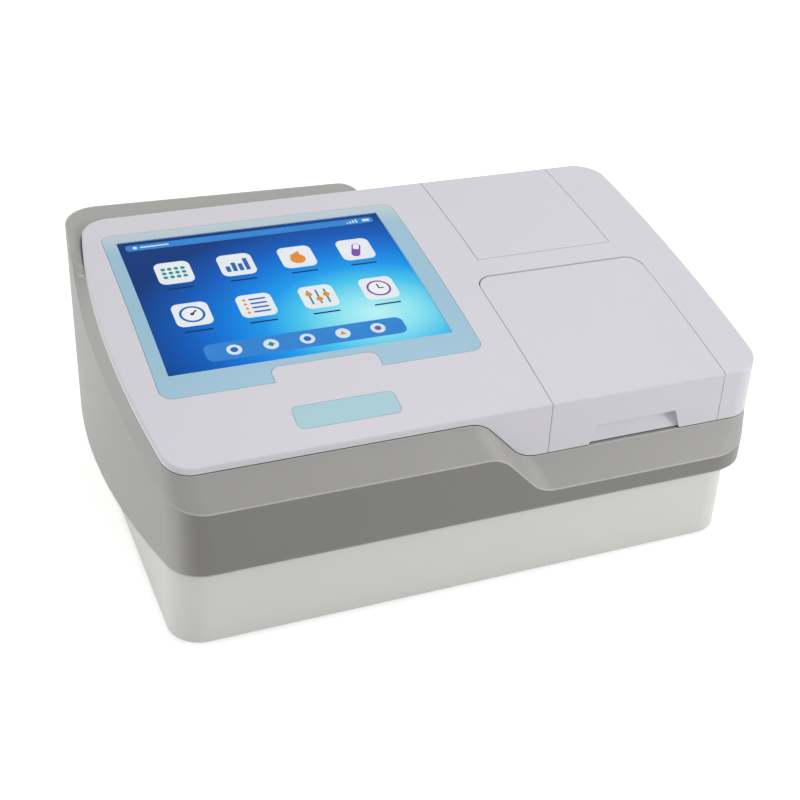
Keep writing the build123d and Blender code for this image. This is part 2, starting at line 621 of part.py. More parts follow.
def top_cover():
    outer = cover_body()
    body = outer - cover_hollow()
    lugs = hinge_lugs(LID_X0, LID_X1, LID_AXIS_Y, LID_AXIS_Z, 2 * COVER_REAR_Z)
    lugs += hinge_lugs(OPTICS_X0, OPTICS_X1, OPTICS_AXIS_Y, OPTICS_AXIS_Z, OPTICS_AXIS_Z + BARREL_RADIUS + LUG_WALL)
    body += (lugs & outer) - under_step(COVER_LIP, COVER_STEP_X)
    body -= lid_prism()
    body -= optics_prism()
    body -= bezel_prism() & band(-1, BEZEL_THICKNESS)
    glass_width, glass_length = SCREEN_WIDTH + 2 * GLASS_BORDER, SCREEN_LENGTH + 2 * GLASS_BORDER
    body -= slab(glass_width + 2 * SEAM, glass_length + 2 * SEAM, 0, 4 * COVER_SKIN)
    body -= label_prism() & band(-1, LABEL_THICKNESS)
    body += bracket_bosses() & cover_hollow()
    body += bracket_bosses() & band(BEZEL_THICKNESS, COVER_SKIN + SEAM)
    seat = PIN_RADIUS + PIN_CLEARANCE
    body -= rod_x(LID_X0 - PIN_SEAT - PIN_CLEARANCE, LID_X1 + PIN_SEAT + PIN_CLEARANCE, LID_AXIS_Y, LID_AXIS_Z, seat)
    body -= rod_x(OPTICS_X0 - PIN_SEAT - PIN_CLEARANCE, OPTICS_X1 + PIN_SEAT + PIN_CLEARANCE, OPTICS_AXIS_Y,
                  OPTICS_AXIS_Z, seat)
    return body


def notch_cut(top, bottom):
    """Finger notch in the lid's front: deep under its upper edge, running out to the front at the bottom."""
    half, half_top = NOTCH_WIDTH / 2, NOTCH_TOP_WIDTH / 2
    front = Polyline((-half, bottom), (half, bottom), (half_top, top), (-half_top, top), close=True)
    outline = Plane(origin=(LID_X, COVER_FRONT_Y + NOTCH_DEPTH, 0), x_dir=(1, 0, 0), z_dir=(0, -1, 0)) * make_face(front)
    profile = Polyline((-NOTCH_DEPTH, bottom), (NOTCH_LIP, bottom), (NOTCH_DEPTH, top), (-NOTCH_DEPTH, top), close=True)
    side = Plane(origin=(LID_X - half, COVER_FRONT_Y, 0), x_dir=(0, 1, 0), z_dir=(1, 0, 0)) * make_face(profile)
    return extrude(outline, 2 * NOTCH_DEPTH) & extrude(side, NOTCH_WIDTH)


def lid_swing():
    """What the rear of the lid may fill: it turns about the axis inside the rounded rear of its opening."""
    radius = LID_CORNER - LID_GAP
    room = rod_x(LID_X0 + LID_CORNER, LID_X1 - LID_CORNER, LID_AXIS_Y, LID_AXIS_Z, radius)
    for x in (LID_X0 + LID_CORNER, LID_X1 - LID_CORNER):
        room += Pos(x, LID_AXIS_Y, LID_AXIS_Z) * Sphere(radius)
    return room + block(LID_X0, LID_X1, 2 * FRONT_Y, LID_AXIS_Y, 0, 2 * COVER_REAR_Z)


def plate_lid():
    outer = cover_body() & lid_prism(LID_GAP) & lid_swing()
    body = outer - cover_hollow()
    ribs = outer & (lid_prism(LID_GAP) - lid_prism(LID_GAP + LID_RIB)) & band(0, COVER_SKIN + LID_RIB_DEPTH)
    body += ribs
    bottom = top_z(COVER_FRONT_Y, COVER_LIP + STEP_DROP)
    notch_top = bottom + NOTCH_HEIGHT
    reach = NOTCH_WIDTH / 2 + NOTCH_WALL
    pocket = block(LID_X - reach, LID_X + reach, COVER_FRONT_Y + COVER_SKIN, COVER_FRONT_Y + NOTCH_DEPTH + NOTCH_WALL,
                   bottom, notch_top + NOTCH_WALL)
    body += pocket - under_step(COVER_LIP, COVER_STEP_X)
    body -= notch_cut(notch_top, bottom - NOTCH_WALL)
    body += rod_x(LID_X0 + LID_GAP, LID_X1 - LID_GAP, LID_AXIS_Y, LID_AXIS_Z, BARREL_RADIUS)
    return body - rod_x(LID_X0, LID_X1, LID_AXIS_Y, LID_AXIS_Z, PIN_RADIUS + PIN_CLEARANCE)


def optics_cover():
    outer = cover_body() & optics_prism(LID_GAP)
    body = outer - cover_hollow()
    ribs = outer & (block(OPTICS_X0, OPTICS_X1, OPTICS_COVER_FRONT_Y, COVER_REAR_Y, 0, 2 * COVER_REAR_Z)
                    - block(OPTICS_X0 + LID_GAP + LID_RIB, OPTICS_X1 - LID_GAP - LID_RIB,
                            OPTICS_COVER_FRONT_Y + LID_GAP + LID_RIB, COVER_REAR_Y, 0, 2 * COVER_REAR_Z))
    body += ribs & band(0, COVER_SKIN + LID_RIB_DEPTH)
    below = block(OPTICS_X0, OPTICS_X1, 0, 2 * COVER_REAR_Y, 0, OPTICS_AXIS_Z)
    barrel = rod_x(OPTICS_X0 + LID_GAP, OPTICS_X1 - LID_GAP, OPTICS_AXIS_Y, OPTICS_AXIS_Z, BARREL_RADIUS)
    body = body - below + barrel
    return body - rod_x(OPTICS_X0, OPTICS_X1, OPTICS_AXIS_Y, OPTICS_AXIS_Z, PIN_RADIUS + PIN_CLEARANCE)


def lid_hinge_pin():
    return rod_x(LID_X0 - PIN_SEAT, LID_X1 + PIN_SEAT, LID_AXIS_Y, LID_AXIS_Z, PIN_RADIUS)


def optics_hinge_pin():
    return rod_x(OPTICS_X0 - PIN_SEAT, OPTICS_X1 + PIN_SEAT, OPTICS_AXIS_Y, OPTICS_AXIS_Z, PIN_RADIUS)


def display_bezel():
    body = bezel_prism(BEZEL_SEAM) & band(0, BEZEL_THICKNESS)
    body -= slab(SCREEN_WIDTH, SCREEN_LENGTH, -1, 4 * BEZEL_THICKNESS + SCREEN_SAG)
    return body - slab(SCREEN_WIDTH + 2 * GLASS_BORDER + SEAM, SCREEN_LENGTH + 2 * GLASS_BORDER + SEAM, GLASS_DROP,
                       4 * BEZEL_THICKNESS)


def touch_glass():
    return slab(SCREEN_WIDTH + 2 * GLASS_BORDER, SCREEN_LENGTH + 2 * GLASS_BORDER, GLASS_DROP, GLASS_THICKNESS)


def display_panel():
    return slab(SCREEN_WIDTH + 2 * GLASS_BORDER, SCREEN_LENGTH + 2 * GLASS_BORDER, GLASS_DROP + GLASS_THICKNESS,
                PANEL_THICKNESS)


def label_plate():
    return label_prism(BEZEL_SEAM) & band(0, LABEL_THICKNESS)


# ---------------------------------------------------------------- display bracket and board
BRACKET_DROP = GLASS_DROP + GLASS_THICKNESS + PANEL_THICKNESS


def bracket_corners(inset):
    x, y = BRACKET_WIDTH / 2 - inset, BRACKET_LENGTH / 2 - inset
    return [(-x, -y), (x, -y), (-x, y), (x, y)]


def bracket_bosses():
    """Bosses under the cover that the display bracket is screwed to."""
    bosses = Part()
    for x, y in bracket_corners(BRACKET_BOSS_RADIUS):
        bosses += tilted(BRACKET_DROP) * Pos(x, y, BRACKET_DROP / 2) * Cylinder(BRACKET_BOSS_RADIUS, BRACKET_DROP)
    return bosses


def display_bracket():
    body = slab(BRACKET_WIDTH, BRACKET_LENGTH, BRACKET_DROP, BRACKET_THICKNESS)
    return body - slab(SCREEN_WIDTH / 2, SCREEN_LENGTH / 4, BRACKET_DROP, BRACKET_THICKNESS)


def display_board():
    width, length = SCREEN_WIDTH * 0.6, SCREEN_LENGTH * 0.55
    drop = BRACKET_DROP + BRACKET_THICKNESS
    body = slab(width, length, drop + STANDOFF_HEIGHT / 2, BOARD_THICKNESS)
    for x in (-1, 1):
        for y in (-1, 1):
            body += tilted(drop + STANDOFF_HEIGHT / 4) * Pos(x * (width / 2 - 5), y * (length / 2 - 5)) * Cylinder(
                STANDOFF_RADIUS, STANDOFF_HEIGHT / 2)
    return body


# ---------------------------------------------------------------- chassis and electronics
CHASSIS_TOP = CHASSIS_Z + CHASSIS_THICKNESS


def chassis_plate():
    body = base_prism(BASE_WALL + CHASSIS_GAP, CHASSIS_Z, CHASSIS_TOP)
    for x, y in boss_places():
        body -= rod_z(x, y, 0, CHASSIS_TOP, SCREW_RADIUS + SCREW_CLEARANCE)
    return body


def chassis_screws():
    screws = []
    for x, y in boss_places():
        shank = rod_z(x, y, FOOT_HEIGHT + BASE_WALL + 1, CHASSIS_TOP, SCREW_RADIUS)
        screws.append(shank + rod_z(x, y, CHASSIS_TOP, CHASSIS_TOP + SCREW_HEAD_HEIGHT, SCREW_HEAD_RADIUS))
    return screws


SUPPLY_X0, SUPPLY_Y0 = BASE_X0 + SUPPLY_GAP_SIDE, BASE_REAR_Y - SUPPLY_GAP_REAR - SUPPLY_DEPTH
BOARD_X0, BOARD_Y0 = SUPPLY_X0 + SUPPLY_WIDTH + BOARD_GAP_SIDE, BASE_FRONT_Y + BOARD_GAP_FRONT


def power_supply():
    body = block(SUPPLY_X0, SUPPLY_X0 + SUPPLY_WIDTH, SUPPLY_Y0, SUPPLY_Y0 + SUPPLY_DEPTH, CHASSIS_TOP,
                 CHASSIS_TOP + SUPPLY_HEIGHT)
    return chamfer(body.edges().filter_by(Axis.Y), 2)


def board_corners():
    inset = BOARD_HOLE_INSET
    return [(x, y) for y in (BOARD_Y0 + inset, BOARD_Y0 + BOARD_DEPTH - inset)
            for x in (BOARD_X0 + inset, BOARD_X0 + BOARD_WIDTH - inset)]


def board_standoffs():
    return [rod_z(x, y, CHASSIS_TOP, CHASSIS_TOP + STANDOFF_HEIGHT, STANDOFF_RADIUS) for x, y in board_corners()]


def heat_sink(x, y, z):
    """Finned block on the main processor."""
    body = block(x, x + HEAT_SINK_SIZE, y, y + HEAT_SINK_SIZE, z, z + HEAT_SINK_BASE)
    pitch = (HEAT_SINK_SIZE - HEAT_SINK_FIN) / (HEAT_SINK_FINS - 1)
    for i in range(HEAT_SINK_FINS):
        fin = x + pitch * i
        body += block(fin, fin + HEAT_SINK_FIN, y, y + HEAT_SINK_SIZE, z + HEAT_SINK_BASE, z + HEAT_SINK_HEIGHT)
    return body


def main_board():
    low = CHASSIS_TOP + STANDOFF_HEIGHT
    high = low + BOARD_THICKNESS
    body = block(BOARD_X0, BOARD_X0 + BOARD_WIDTH, BOARD_Y0, BOARD_Y0 + BOARD_DEPTH, low, high)
    body += heat_sink(BOARD_X0 + HEAT_SINK_X, BOARD_Y0 + HEAT_SINK_Y, high)
    width, length, height = SOCKET_BODY
    x0 = BOARD_X0 + SOCKET_INSET
    for i in range(SOCKET_COUNT):
        y0 = BOARD_Y0 + SOCKET_PITCH * (i + 1)
        body += block(x0, x0 + width, y0, y0 + length, high, high + height)
    width, length, height = CARD_SLOT
    x1, y0 = BOARD_X0 + BOARD_WIDTH - CARD_SLOT_INSET, BOARD_Y0 + CARD_SLOT_Y
    return body + block(x1 - width, x1, y0, y0 + length, high, high + height)


# ---------------------------------------------------------------- plate transport
LINER_FRONT_Y, LINER_REAR_Y = COVER_FRONT_Y + LINER_TO_FRONT, COVER_REAR_Y - LINER_TO_REAR
LINER_BACK_Y = LID_REAR_Y - LINER_BACK_WALL
LINER_SWING_Y = LID_AXIS_Y - BARREL_RADIUS - LUG_WALL - LINER_TOP_CLEARANCE
LINER_HALF = LID_WIDTH / 2 + LINER_WALL + LINER_TOP_CLEARANCE + 0.1
LINER_INNER = LINER_HALF - LINER_WALL
LINER_FLOOR_TOP = LINER_FLOOR_Z + LINER_WALL
LINER_LOW_TOP = LINER_FLOOR_TOP + LINER_LOW_WALL
CARRIER_HALF = LINER_INNER - CARRIER_SIDE_GAP
CARRIER_DEPTH = PLATE_DEPTH + 2 * PLATE_CLEARANCE + 2 * CARRIER_BORDER - 1.0
CARRIER_FRONT_Y = LINER_FRONT_Y + CARRIER_GAP_FRONT
CARRIER_REAR_Y = CARRIER_FRONT_Y + CARRIER_DEPTH
ROD_REAR_Y = LINER_REAR_Y - ROD_GAP_REAR
PULLEY_FRONT_Y, PULLEY_REAR_Y = LINER_FRONT_Y + PULLEY_GAP_FRONT, LINER_REAR_Y - PULLEY_GAP_REAR
CARRIER_Y = CARRIER_FRONT_Y + CARRIER_DEPTH / 2
CARRIER_TOP = CARRIER_Z + CARRIER_THICKNESS
POCKET_WIDTH = PLATE_WIDTH + 2 * PLATE_CLEARANCE
POCKET_DEPTH = PLATE_DEPTH + 2 * PLATE_CLEARANCE
BELT_MIDDLE_X = LID_X + BELT_X


def compartment_liner():
    x0, x1 = LID_X - LINER_HALF, LID_X + LINER_HALF
    body = block(x0, x1, LINER_FRONT_Y, LINER_REAR_Y, LINER_FLOOR_Z, LINER_FLOOR_TOP)
    walls = block(x0, x1, LINER_FRONT_Y, LINER_BACK_Y, LINER_FLOOR_TOP, COVER_REAR_Z) & band(
        COVER_SKIN + LINER_TOP_CLEARANCE, DEEP)
    walls -= block(x0 + LINER_WALL, x1 - LINER_WALL, LINER_FRONT_Y + LINER_WALL, LINER_BACK_Y - LINER_WALL, 0,
                   COVER_REAR_Z)
    # The front wall stays below the lid's finger pocket; the back wall leaves the plate its way to the optics.
    walls -= block(x0 + LINER_WALL, x1 - LINER_WALL, LINER_FRONT_Y, LINER_FRONT_Y + LINER_WALL, CARRIER_Z - 2,
                   COVER_REAR_Z)
    walls -= block(x0 + LINER_WALL, x1 - LINER_WALL, LINER_BACK_Y - LINER_WALL, LINER_BACK_Y, 0, DECK_Z)
    # Both walls stay clear of the rear of the lid as it swings down, and of its lugs.
    walls -= block(x0, x1, LINER_BACK_Y - LINER_WALL, LINER_BACK_Y, LID_AXIS_Z - LINER_BACK_DROP, 2 * COVER_REAR_Z)
    walls -= block(x0, x1, LINER_SWING_Y, LINER_BACK_Y, 0, 2 * COVER_REAR_Z) & band(0, LINER_SWING_DROP)
    body += walls
    for x in (x0, x1 - LINER_WALL):
        body += block(x, x + LINER_WALL, LINER_BACK_Y, LINER_REAR_Y, LINER_FLOOR_TOP, LINER_LOW_TOP)
    for x in (x0, x1 - LINER_POST):
        for y in (LINER_FRONT_Y, -LINER_POST / 2, LINER_REAR_Y - LINER_POST):
            body += block(x, x + LINER_POST, y, y + LINER_POST, CHASSIS_TOP, LINER_FLOOR_Z)
    body -= block(LID_X - LENS_COUNT * WELL_PITCH / 2, LID_X + LENS_COUNT * WELL_PITCH / 2, READ_Y - LENS_SLOT / 2,
                  READ_Y + LENS_SLOT / 2, LINER_FLOOR_Z, LINER_FLOOR_TOP)
    return body - rod_x(x0, x0 + LINER_WALL, PULLEY_REAR_Y, BELT_Z, DRIVE_SHAFT_RADIUS + 1)


def rod_sides():
    return [LID_X - ROD_X, LID_X + ROD_X]


def guide_rods():
    return [rod_y(x, LINER_FRONT_Y + LINER_WALL, ROD_REAR_Y, ROD_Z, ROD_RADIUS) for x in rod_sides()]


def rod_supports():
    """Four blocks on the liner's floor that hold the guide rods by their ends."""
    blocks = []
    half, top = BUSHING_BLOCK / 2, ROD_Z + ROD_RADIUS + 2
    for x in rod_sides():
        for y in (LINER_FRONT_Y + LINER_WALL, ROD_REAR_Y - SUPPORT_LENGTH):
            body = block(x - half, x + half, y, y + SUPPORT_LENGTH, LINER_FLOOR_TOP, top)
            blocks.append(body - rod_y(x, y, y + SUPPORT_LENGTH, ROD_Z, ROD_RADIUS + SCREW_CLEARANCE / 4))
    return blocks


def bushing_places():
    near = CARRIER_FRONT_Y + BUSHING_INSET + BUSHING_LENGTH / 2
    return [(x, y) for x in rod_sides() for y in (near, 2 * CARRIER_Y - near)]


def plate_carrier():
    x0, x1 = LID_X - CARRIER_HALF, LID_X + CARRIER_HALF
    body = block(x0, x1, CARRIER_FRONT_Y, CARRIER_REAR_Y, CARRIER_Z, CARRIER_TOP + CARRIER_RIM)
    body = fillet(body.edges().filter_by(Axis.Z), 3)
    body -= Pos(LID_X, CARRIER_Y, CARRIER_TOP) * extrude(RectangleRounded(POCKET_WIDTH, POCKET_DEPTH, 2), PLATE_HEIGHT)
    body -= Pos(LID_X, CARRIER_Y, CARRIER_Z) * extrude(
        RectangleRounded(POCKET_WIDTH - 2 * CARRIER_LEDGE, POCKET_DEPTH - 2 * CARRIER_LEDGE, 4), PLATE_HEIGHT)
    # Finger gaps in the rim, left, right and front
    body -= block(x0, x1, CARRIER_Y - 16, CARRIER_Y + 16, CARRIER_TOP, CARRIER_TOP + CARRIER_RIM)
    half = BUSHING_BLOCK / 2
    for x, y in bushing_places():
        half_length = BUSHING_LENGTH / 2
        body += block(x - half, x + half, y - half_length, y + half_length, ROD_Z - half, CARRIER_Z)
        body -= rod_y(x, y - half_length, y + half_length, ROD_Z, BUSHING_RADIUS)
    # Seat for the clamp lever behind the plate's right rear corner
    return body - clamp_room()


CLAMP_PIVOT_X = LID_X + 40.0
CLAMP_PIVOT_Y = CARRIER_REAR_Y - CARRIER_BORDER / 2 + 0.4


def clamp_room():
    y = CLAMP_PIVOT_Y
    return block(CLAMP_PIVOT_X - CLAMP_LENGTH / 2 - 2, CLAMP_PIVOT_X + CLAMP_LENGTH / 2 + 2, y - CARRIER_BORDER,
                 y + CARRIER_BORDER, CARRIER_TOP + CARRIER_RIM - CLAMP_THICKNESS - 0.3, CARRIER_TOP + CARRIER_RIM)


def plate_clamp():
    """Small sprung lever that presses the plate against the front of its nest."""
    low = CARRIER_TOP + CARRIER_RIM - CLAMP_THICKNESS
    width = CARRIER_BORDER - 2.2
    arm = Pos(CLAMP_PIVOT_X, CLAMP_PIVOT_Y, low) * extrude(SlotOverall(CLAMP_LENGTH, width), CLAMP_THICKNESS)
    return arm - rod_z(CLAMP_PIVOT_X, CLAMP_PIVOT_Y, low, low + CLAMP_THICKNESS, 0.8 + RUNNING_FIT)


def clamp_pin():
    low = CARRIER_TOP + CARRIER_RIM - CLAMP_THICKNESS
    return rod_z(CLAMP_PIVOT_X, CLAMP_PIVOT_Y, low - 0.3, low + CLAMP_THICKNESS, 0.8)


def slide_bushings():
    bushings = []
    for x, y in bushing_places():
        body = rod_y(x, y - BUSHING_LENGTH / 2, y + BUSHING_LENGTH / 2, ROD_Z, BUSHING_RADIUS - RUNNING_FIT / 2)
        bushings.append(body - rod_y(x, y - BUSHING_LENGTH, y + BUSHING_LENGTH, ROD_Z, ROD_RADIUS + RUNNING_FIT))
    return bushings


def belt_loop(radius, half_width):
    """Solid stadium round both pulleys, in the upright plane of the belt."""
    x0, x1 = BELT_MIDDLE_X - half_width, BELT_MIDDLE_X + half_width
    body = block(x0, x1, PULLEY_FRONT_Y, PULLEY_REAR_Y, BELT_Z - radius, BELT_Z + radius)
    for y in (PULLEY_FRONT_Y, PULLEY_REAR_Y):
        body += rod_x(x0, x1, y, BELT_Z, radius)
    return body


def drive_belt():
    inner = PULLEY_RADIUS + BELT_SLACK
    return belt_loop(inner + BELT_THICKNESS, BELT_WIDTH / 2) - belt_loop(inner, BELT_WIDTH)


def belt_clamp():
    """Jaw under the carrier that grips the belt's upper run."""
    run = BELT_Z + PULLEY_RADIUS + BELT_SLACK
    gap = 0.3
    outer = BELT_WIDTH / 2 + gap + 1.2
    body = block(BELT_MIDDLE_X - outer, BELT_MIDDLE_X + outer, CARRIER_Y - 5, CARRIER_Y + 5, run - gap - 1.2, CARRIER_Z)
    body += block(LID_X - CARRIER_HALF, BELT_MIDDLE_X, CARRIER_Y - 5, CARRIER_Y + 5, ROD_Z + ROD_RADIUS + gap, CARRIER_Z)
    inner = BELT_WIDTH / 2 + gap
    return body - block(BELT_MIDDLE_X - inner, BELT_MIDDLE_X + inner, CARRIER_Y - 5, CARRIER_Y + 5, run - gap,
                        run + BELT_THICKNESS + gap)


def pulley(y):
    half = PULLEY_DRUM_WIDTH / 2
    wide = half + PULLEY_FLANGE_WIDTH
    body = rod_x(BELT_MIDDLE_X - wide, BELT_MIDDLE_X + wide, y, BELT_Z, PULLEY_FLANGE)
    return body - (rod_x(BELT_MIDDLE_X - half, BELT_MIDDLE_X + half, y, BELT_Z, PULLEY_FLANGE)
                   - rod_x(BELT_MIDDLE_X - half, BELT_MIDDLE_X + half, y, BELT_Z, PULLEY_RADIUS))


MOTOR_FACE_X = LID_X - LINER_HALF


def drive_pulley():
    return pulley(PULLEY_REAR_Y) + rod_x(MOTOR_FACE_X - 12, BELT_MIDDLE_X + 5, PULLEY_REAR_Y, BELT_Z,
                                         DRIVE_SHAFT_RADIUS)


def drive_motor():
    half = MOTOR_SIZE / 2
    body = block(MOTOR_FACE_X - MOTOR_LENGTH, MOTOR_FACE_X, PULLEY_REAR_Y - half, PULLEY_REAR_Y + half, BELT_Z - half,
                 BELT_Z + half)
    body = chamfer(body.edges().filter_by(Axis.X), MOTOR_CHAMFER)
    return body - rod_x(MOTOR_FACE_X - 13, MOTOR_FACE_X, PULLEY_REAR_Y, BELT_Z, DRIVE_SHAFT_RADIUS + RUNNING_FIT)


IDLER_BRACKET_X = BELT_MIDDLE_X + PULLEY_DRUM_WIDTH / 2 + PULLEY_FLANGE_WIDTH + 0.5


def idler_pulley():
    return pulley(PULLEY_FRONT_Y) - rod_x(BELT_MIDDLE_X - 10, BELT_MIDDLE_X + 10, PULLEY_FRONT_Y, BELT_Z,
                                          IDLER_PIN_RADIUS + RUNNING_FIT)


def idler_bracket():
    """Upright ear on the liner's floor with the pin that the idler turns on."""
    x, y = IDLER_BRACKET_X, PULLEY_FRONT_Y
    body = block(x, x + 2.5, y - 6, y + 6, LINER_FLOOR_TOP, BELT_Z + 6)
    body += block(x, x + 12, y - 6, y + 6, LINER_FLOOR_TOP, LINER_FLOOR_TOP + 2)
    return body + rod_x(BELT_MIDDLE_X - 2.8, x, y, BELT_Z, IDLER_PIN_RADIUS)


# ---------------------------------------------------------------- optics
DECK_TOP = DECK_Z + DECK_THICKNESS
WHEEL_X = LID_X + WHEEL_OFFSET_X
LAMP_X = WHEEL_X + FILTER_PITCH_RADIUS


def optics_deck():
    x0, x1 = LID_X - LINER_HALF, LID_X + LINER_HALF
    body = block(x0, x1, DECK_FRONT_Y, LINER_REAR_Y, LINER_LOW_TOP, DECK_TOP)
    body -= block(x0 + LINER_WALL, x1 - LINER_WALL, DECK_FRONT_Y, LINER_REAR_Y - LINER_WALL, LINER_LOW_TOP, DECK_Z)
    half = LENS_COUNT * WELL_PITCH / 2
    return body - block(LID_X - half, LID_X + half, READ_Y - LENS_SLOT / 2, READ_Y + LENS_SLOT / 2, DECK_Z, DECK_TOP)


def lens_places():
    return [LID_X + (i - (LENS_COUNT - 1) / 2) * WELL_PITCH for i in range(LENS_COUNT)]


def lens_block():
    half = LENS_BLOCK_WIDTH / 2
    body = block(LID_X - half, LID_X + half, READ_Y - LENS_BLOCK_DEPTH / 2, READ_Y + LENS_BLOCK_DEPTH / 2, DECK_TOP,
                 DECK_TOP + LENS_BLOCK_HEIGHT)
    return chamfer(body.edges().group_by(Axis.Z)[-1], 1.5)


def lens_tubes():
    return [rod_z(x, READ_Y, DECK_TOP - LENS_DROP, DECK_TOP, LENS_RADIUS) for x in lens_places()]


def detector_board():
    half = LENS_BLOCK_WIDTH / 2
    low = DETECTOR_Z
    body = block(LID_X - half, LID_X + half, READ_Y - 14, READ_Y + 14, low, low + DETECTOR_THICKNESS)
    for x in lens_places():
        body += rod_z(x, READ_Y, low + DETECTOR_THICKNESS, low + 5, LENS_RADIUS)
    for x in (LID_X - half + 4, LID_X + half - 4):
        body += rod_z(x, READ_Y, low + DETECTOR_THICKNESS, LINER_FLOOR_Z, STANDOFF_RADIUS)
    return body


def filter_places():
    turn = 2 * math.pi / FILTER_COUNT
    return [(WHEEL_X + FILTER_PITCH_RADIUS * math.cos(i * turn), WHEEL_Z + FILTER_PITCH_RADIUS * math.sin(i * turn))
            for i in range(FILTER_COUNT)]


def filter_wheel():
    half = WHEEL_THICKNESS / 2
    body = rod_y(WHEEL_X, WHEEL_Y - half, WHEEL_Y + half, WHEEL_Z, WHEEL_RADIUS)
    body += rod_y(WHEEL_X, WHEEL_Y - half, WHEEL_Y - half + WHEEL_HUB_LENGTH, WHEEL_Z, WHEEL_HUB_RADIUS)
    body += rod_y(WHEEL_X, WHEEL_PLATE_Y - 6, WHEEL_Y, WHEEL_Z, WHEEL_SHAFT_RADIUS)
    for x, z in filter_places():
        body -= rod_y(x, WHEEL_Y - half, WHEEL_Y + half, z, FILTER_RADIUS)
    return body


def filters():
    half = FILTER_THICKNESS / 2
    return [rod_y(x, WHEEL_Y - half, WHEEL_Y + half, z, FILTER_RADIUS - RUNNING_FIT) for x, z in filter_places()]


def wheel_bracket():
    back = WHEEL_PLATE_Y + WHEEL_PLATE_THICKNESS
    x0, x1 = WHEEL_X - 14, LAMP_X + COUPLER_RADIUS + 4
    body = block(x0, x1, WHEEL_PLATE_Y, back, DECK_TOP, WHEEL_Z + WHEEL_MOTOR_SIZE / 2 + 4)
    body += block(x0, x1, WHEEL_PLATE_Y - 12, back, DECK_TOP, DECK_TOP + 2)
    body -= rod_y(WHEEL_X, WHEEL_PLATE_Y, back, WHEEL_Z, WHEEL_SHAFT_RADIUS + 1)
    return body - rod_y(LAMP_X, WHEEL_PLATE_Y, back, WHEEL_Z, COUPLER_RADIUS + RUNNING_FIT)


def wheel_motor():
    half = WHEEL_MOTOR_SIZE / 2
    body = block(WHEEL_X - half, WHEEL_X + half, WHEEL_PLATE_Y - WHEEL_MOTOR_LENGTH, WHEEL_PLATE_Y, WHEEL_Z - half,
                 WHEEL_Z + half)
    body = chamfer(body.edges().filter_by(Axis.Y), 2)
    return body - rod_y(WHEEL_X, WHEEL_PLATE_Y - 7, WHEEL_PLATE_Y, WHEEL_Z, WHEEL_SHAFT_RADIUS + RUNNING_FIT)


def light_coupler():
    back = WHEEL_Y - WHEEL_THICKNESS / 2 - 1
    return rod_y(LAMP_X, back - COUPLER_LENGTH, back, WHEEL_Z, COUPLER_RADIUS)


def fibre_guide():
    """Light guide from the coupler, bent down into the lens block."""
    start = WHEEL_Y - WHEEL_THICKNESS / 2 - 1 - COUPLER_LENGTH
    low = DECK_TOP + LENS_BLOCK_HEIGHT
    path = FilletPolyline((LAMP_X, start, WHEEL_Z), (LAMP_X, READ_Y, WHEEL_Z), (LAMP_X, READ_Y, low),
                          radius=FIBRE_BEND)
    section = Plane(origin=(LAMP_X, start, WHEEL_Z), z_dir=(0, -1, 0)) * Circle(FIBRE_RADIUS)
    return sweep(section, path)


def lamp_housing():
    half, wall = LAMP_BOX_WIDTH / 2, LAMP_BOX_WALL
    y0, y1 = LAMP_BOX_FRONT_Y, LAMP_BOX_FRONT_Y + LAMP_BOX_DEPTH
    top = DECK_TOP + LAMP_BOX_HEIGHT
    body = block(LAMP_X - half, LAMP_X + half, y0, y1, DECK_TOP, top)
    body -= block(LAMP_X - half + wall, LAMP_X + half - wall, y0 + wall, y1 - wall, DECK_TOP + wall, top - wall)
    body -= rod_y(LAMP_X, y0, y0 + wall, WHEEL_Z, LAMP_APERTURE)
    step = LAMP_BOX_DEPTH / FIN_COUNT
    for i in range(FIN_COUNT):
        y = y0 + step * (i + 0.5)
        body += block(LAMP_X + half, LAMP_X + half + FIN_DEPTH, y, y + FIN_THICKNESS, DECK_TOP, top)
    return body


def lamp():
    y = LAMP_BOX_FRONT_Y + LAMP_BOX_DEPTH / 2
    low = DECK_TOP + LAMP_BOX_WALL
    neck = WHEEL_Z - 1.5 * LAMP_RADIUS
    body = block(LAMP_X - LAMP_BASE / 2, LAMP_X + LAMP_BASE / 2, y - LAMP_BASE / 2, y + LAMP_BASE / 2, low, neck)
    return body + rod_z(LAMP_X, y, neck, WHEEL_Z + LAMP_RADIUS, LAMP_RADIUS) + Pos(
        LAMP_X, y, WHEEL_Z + LAMP_RADIUS) * Sphere(LAMP_RADIUS)


# ---------------------------------------------------------------- rear panel
PANEL_BACK_Y = REAR_Y - HOUSING_WALL
PANEL_FRONT_Y = PANEL_BACK_Y - PANEL_METAL
INLET_X, SWITCH_X, FAN_X = PANEL_X0 + INLET_OFFSET, PANEL_X0 + SWITCH_OFFSET, PANEL_X0 + FAN_OFFSET
# Middle from the panel's left end, height, width and height of each connector
PORT_SIZES = {"data_port": (228.0, 66.0, 16.0, 13.5), "serial_port": (222.0, 94.0, 31.0, 12.5),
              "usb_port": (204.0, 66.0, 14.5, 15.5)}
PORTS = {name: (PANEL_X0 + offset, z, width, height) for name, (offset, z, width, height) in PORT_SIZES.items()}


def panel_cut(x, z, width, height):
    return block(x - width / 2, x + width / 2, PANEL_FRONT_Y - 1, PANEL_BACK_Y + 1, z - height / 2, z + height / 2)


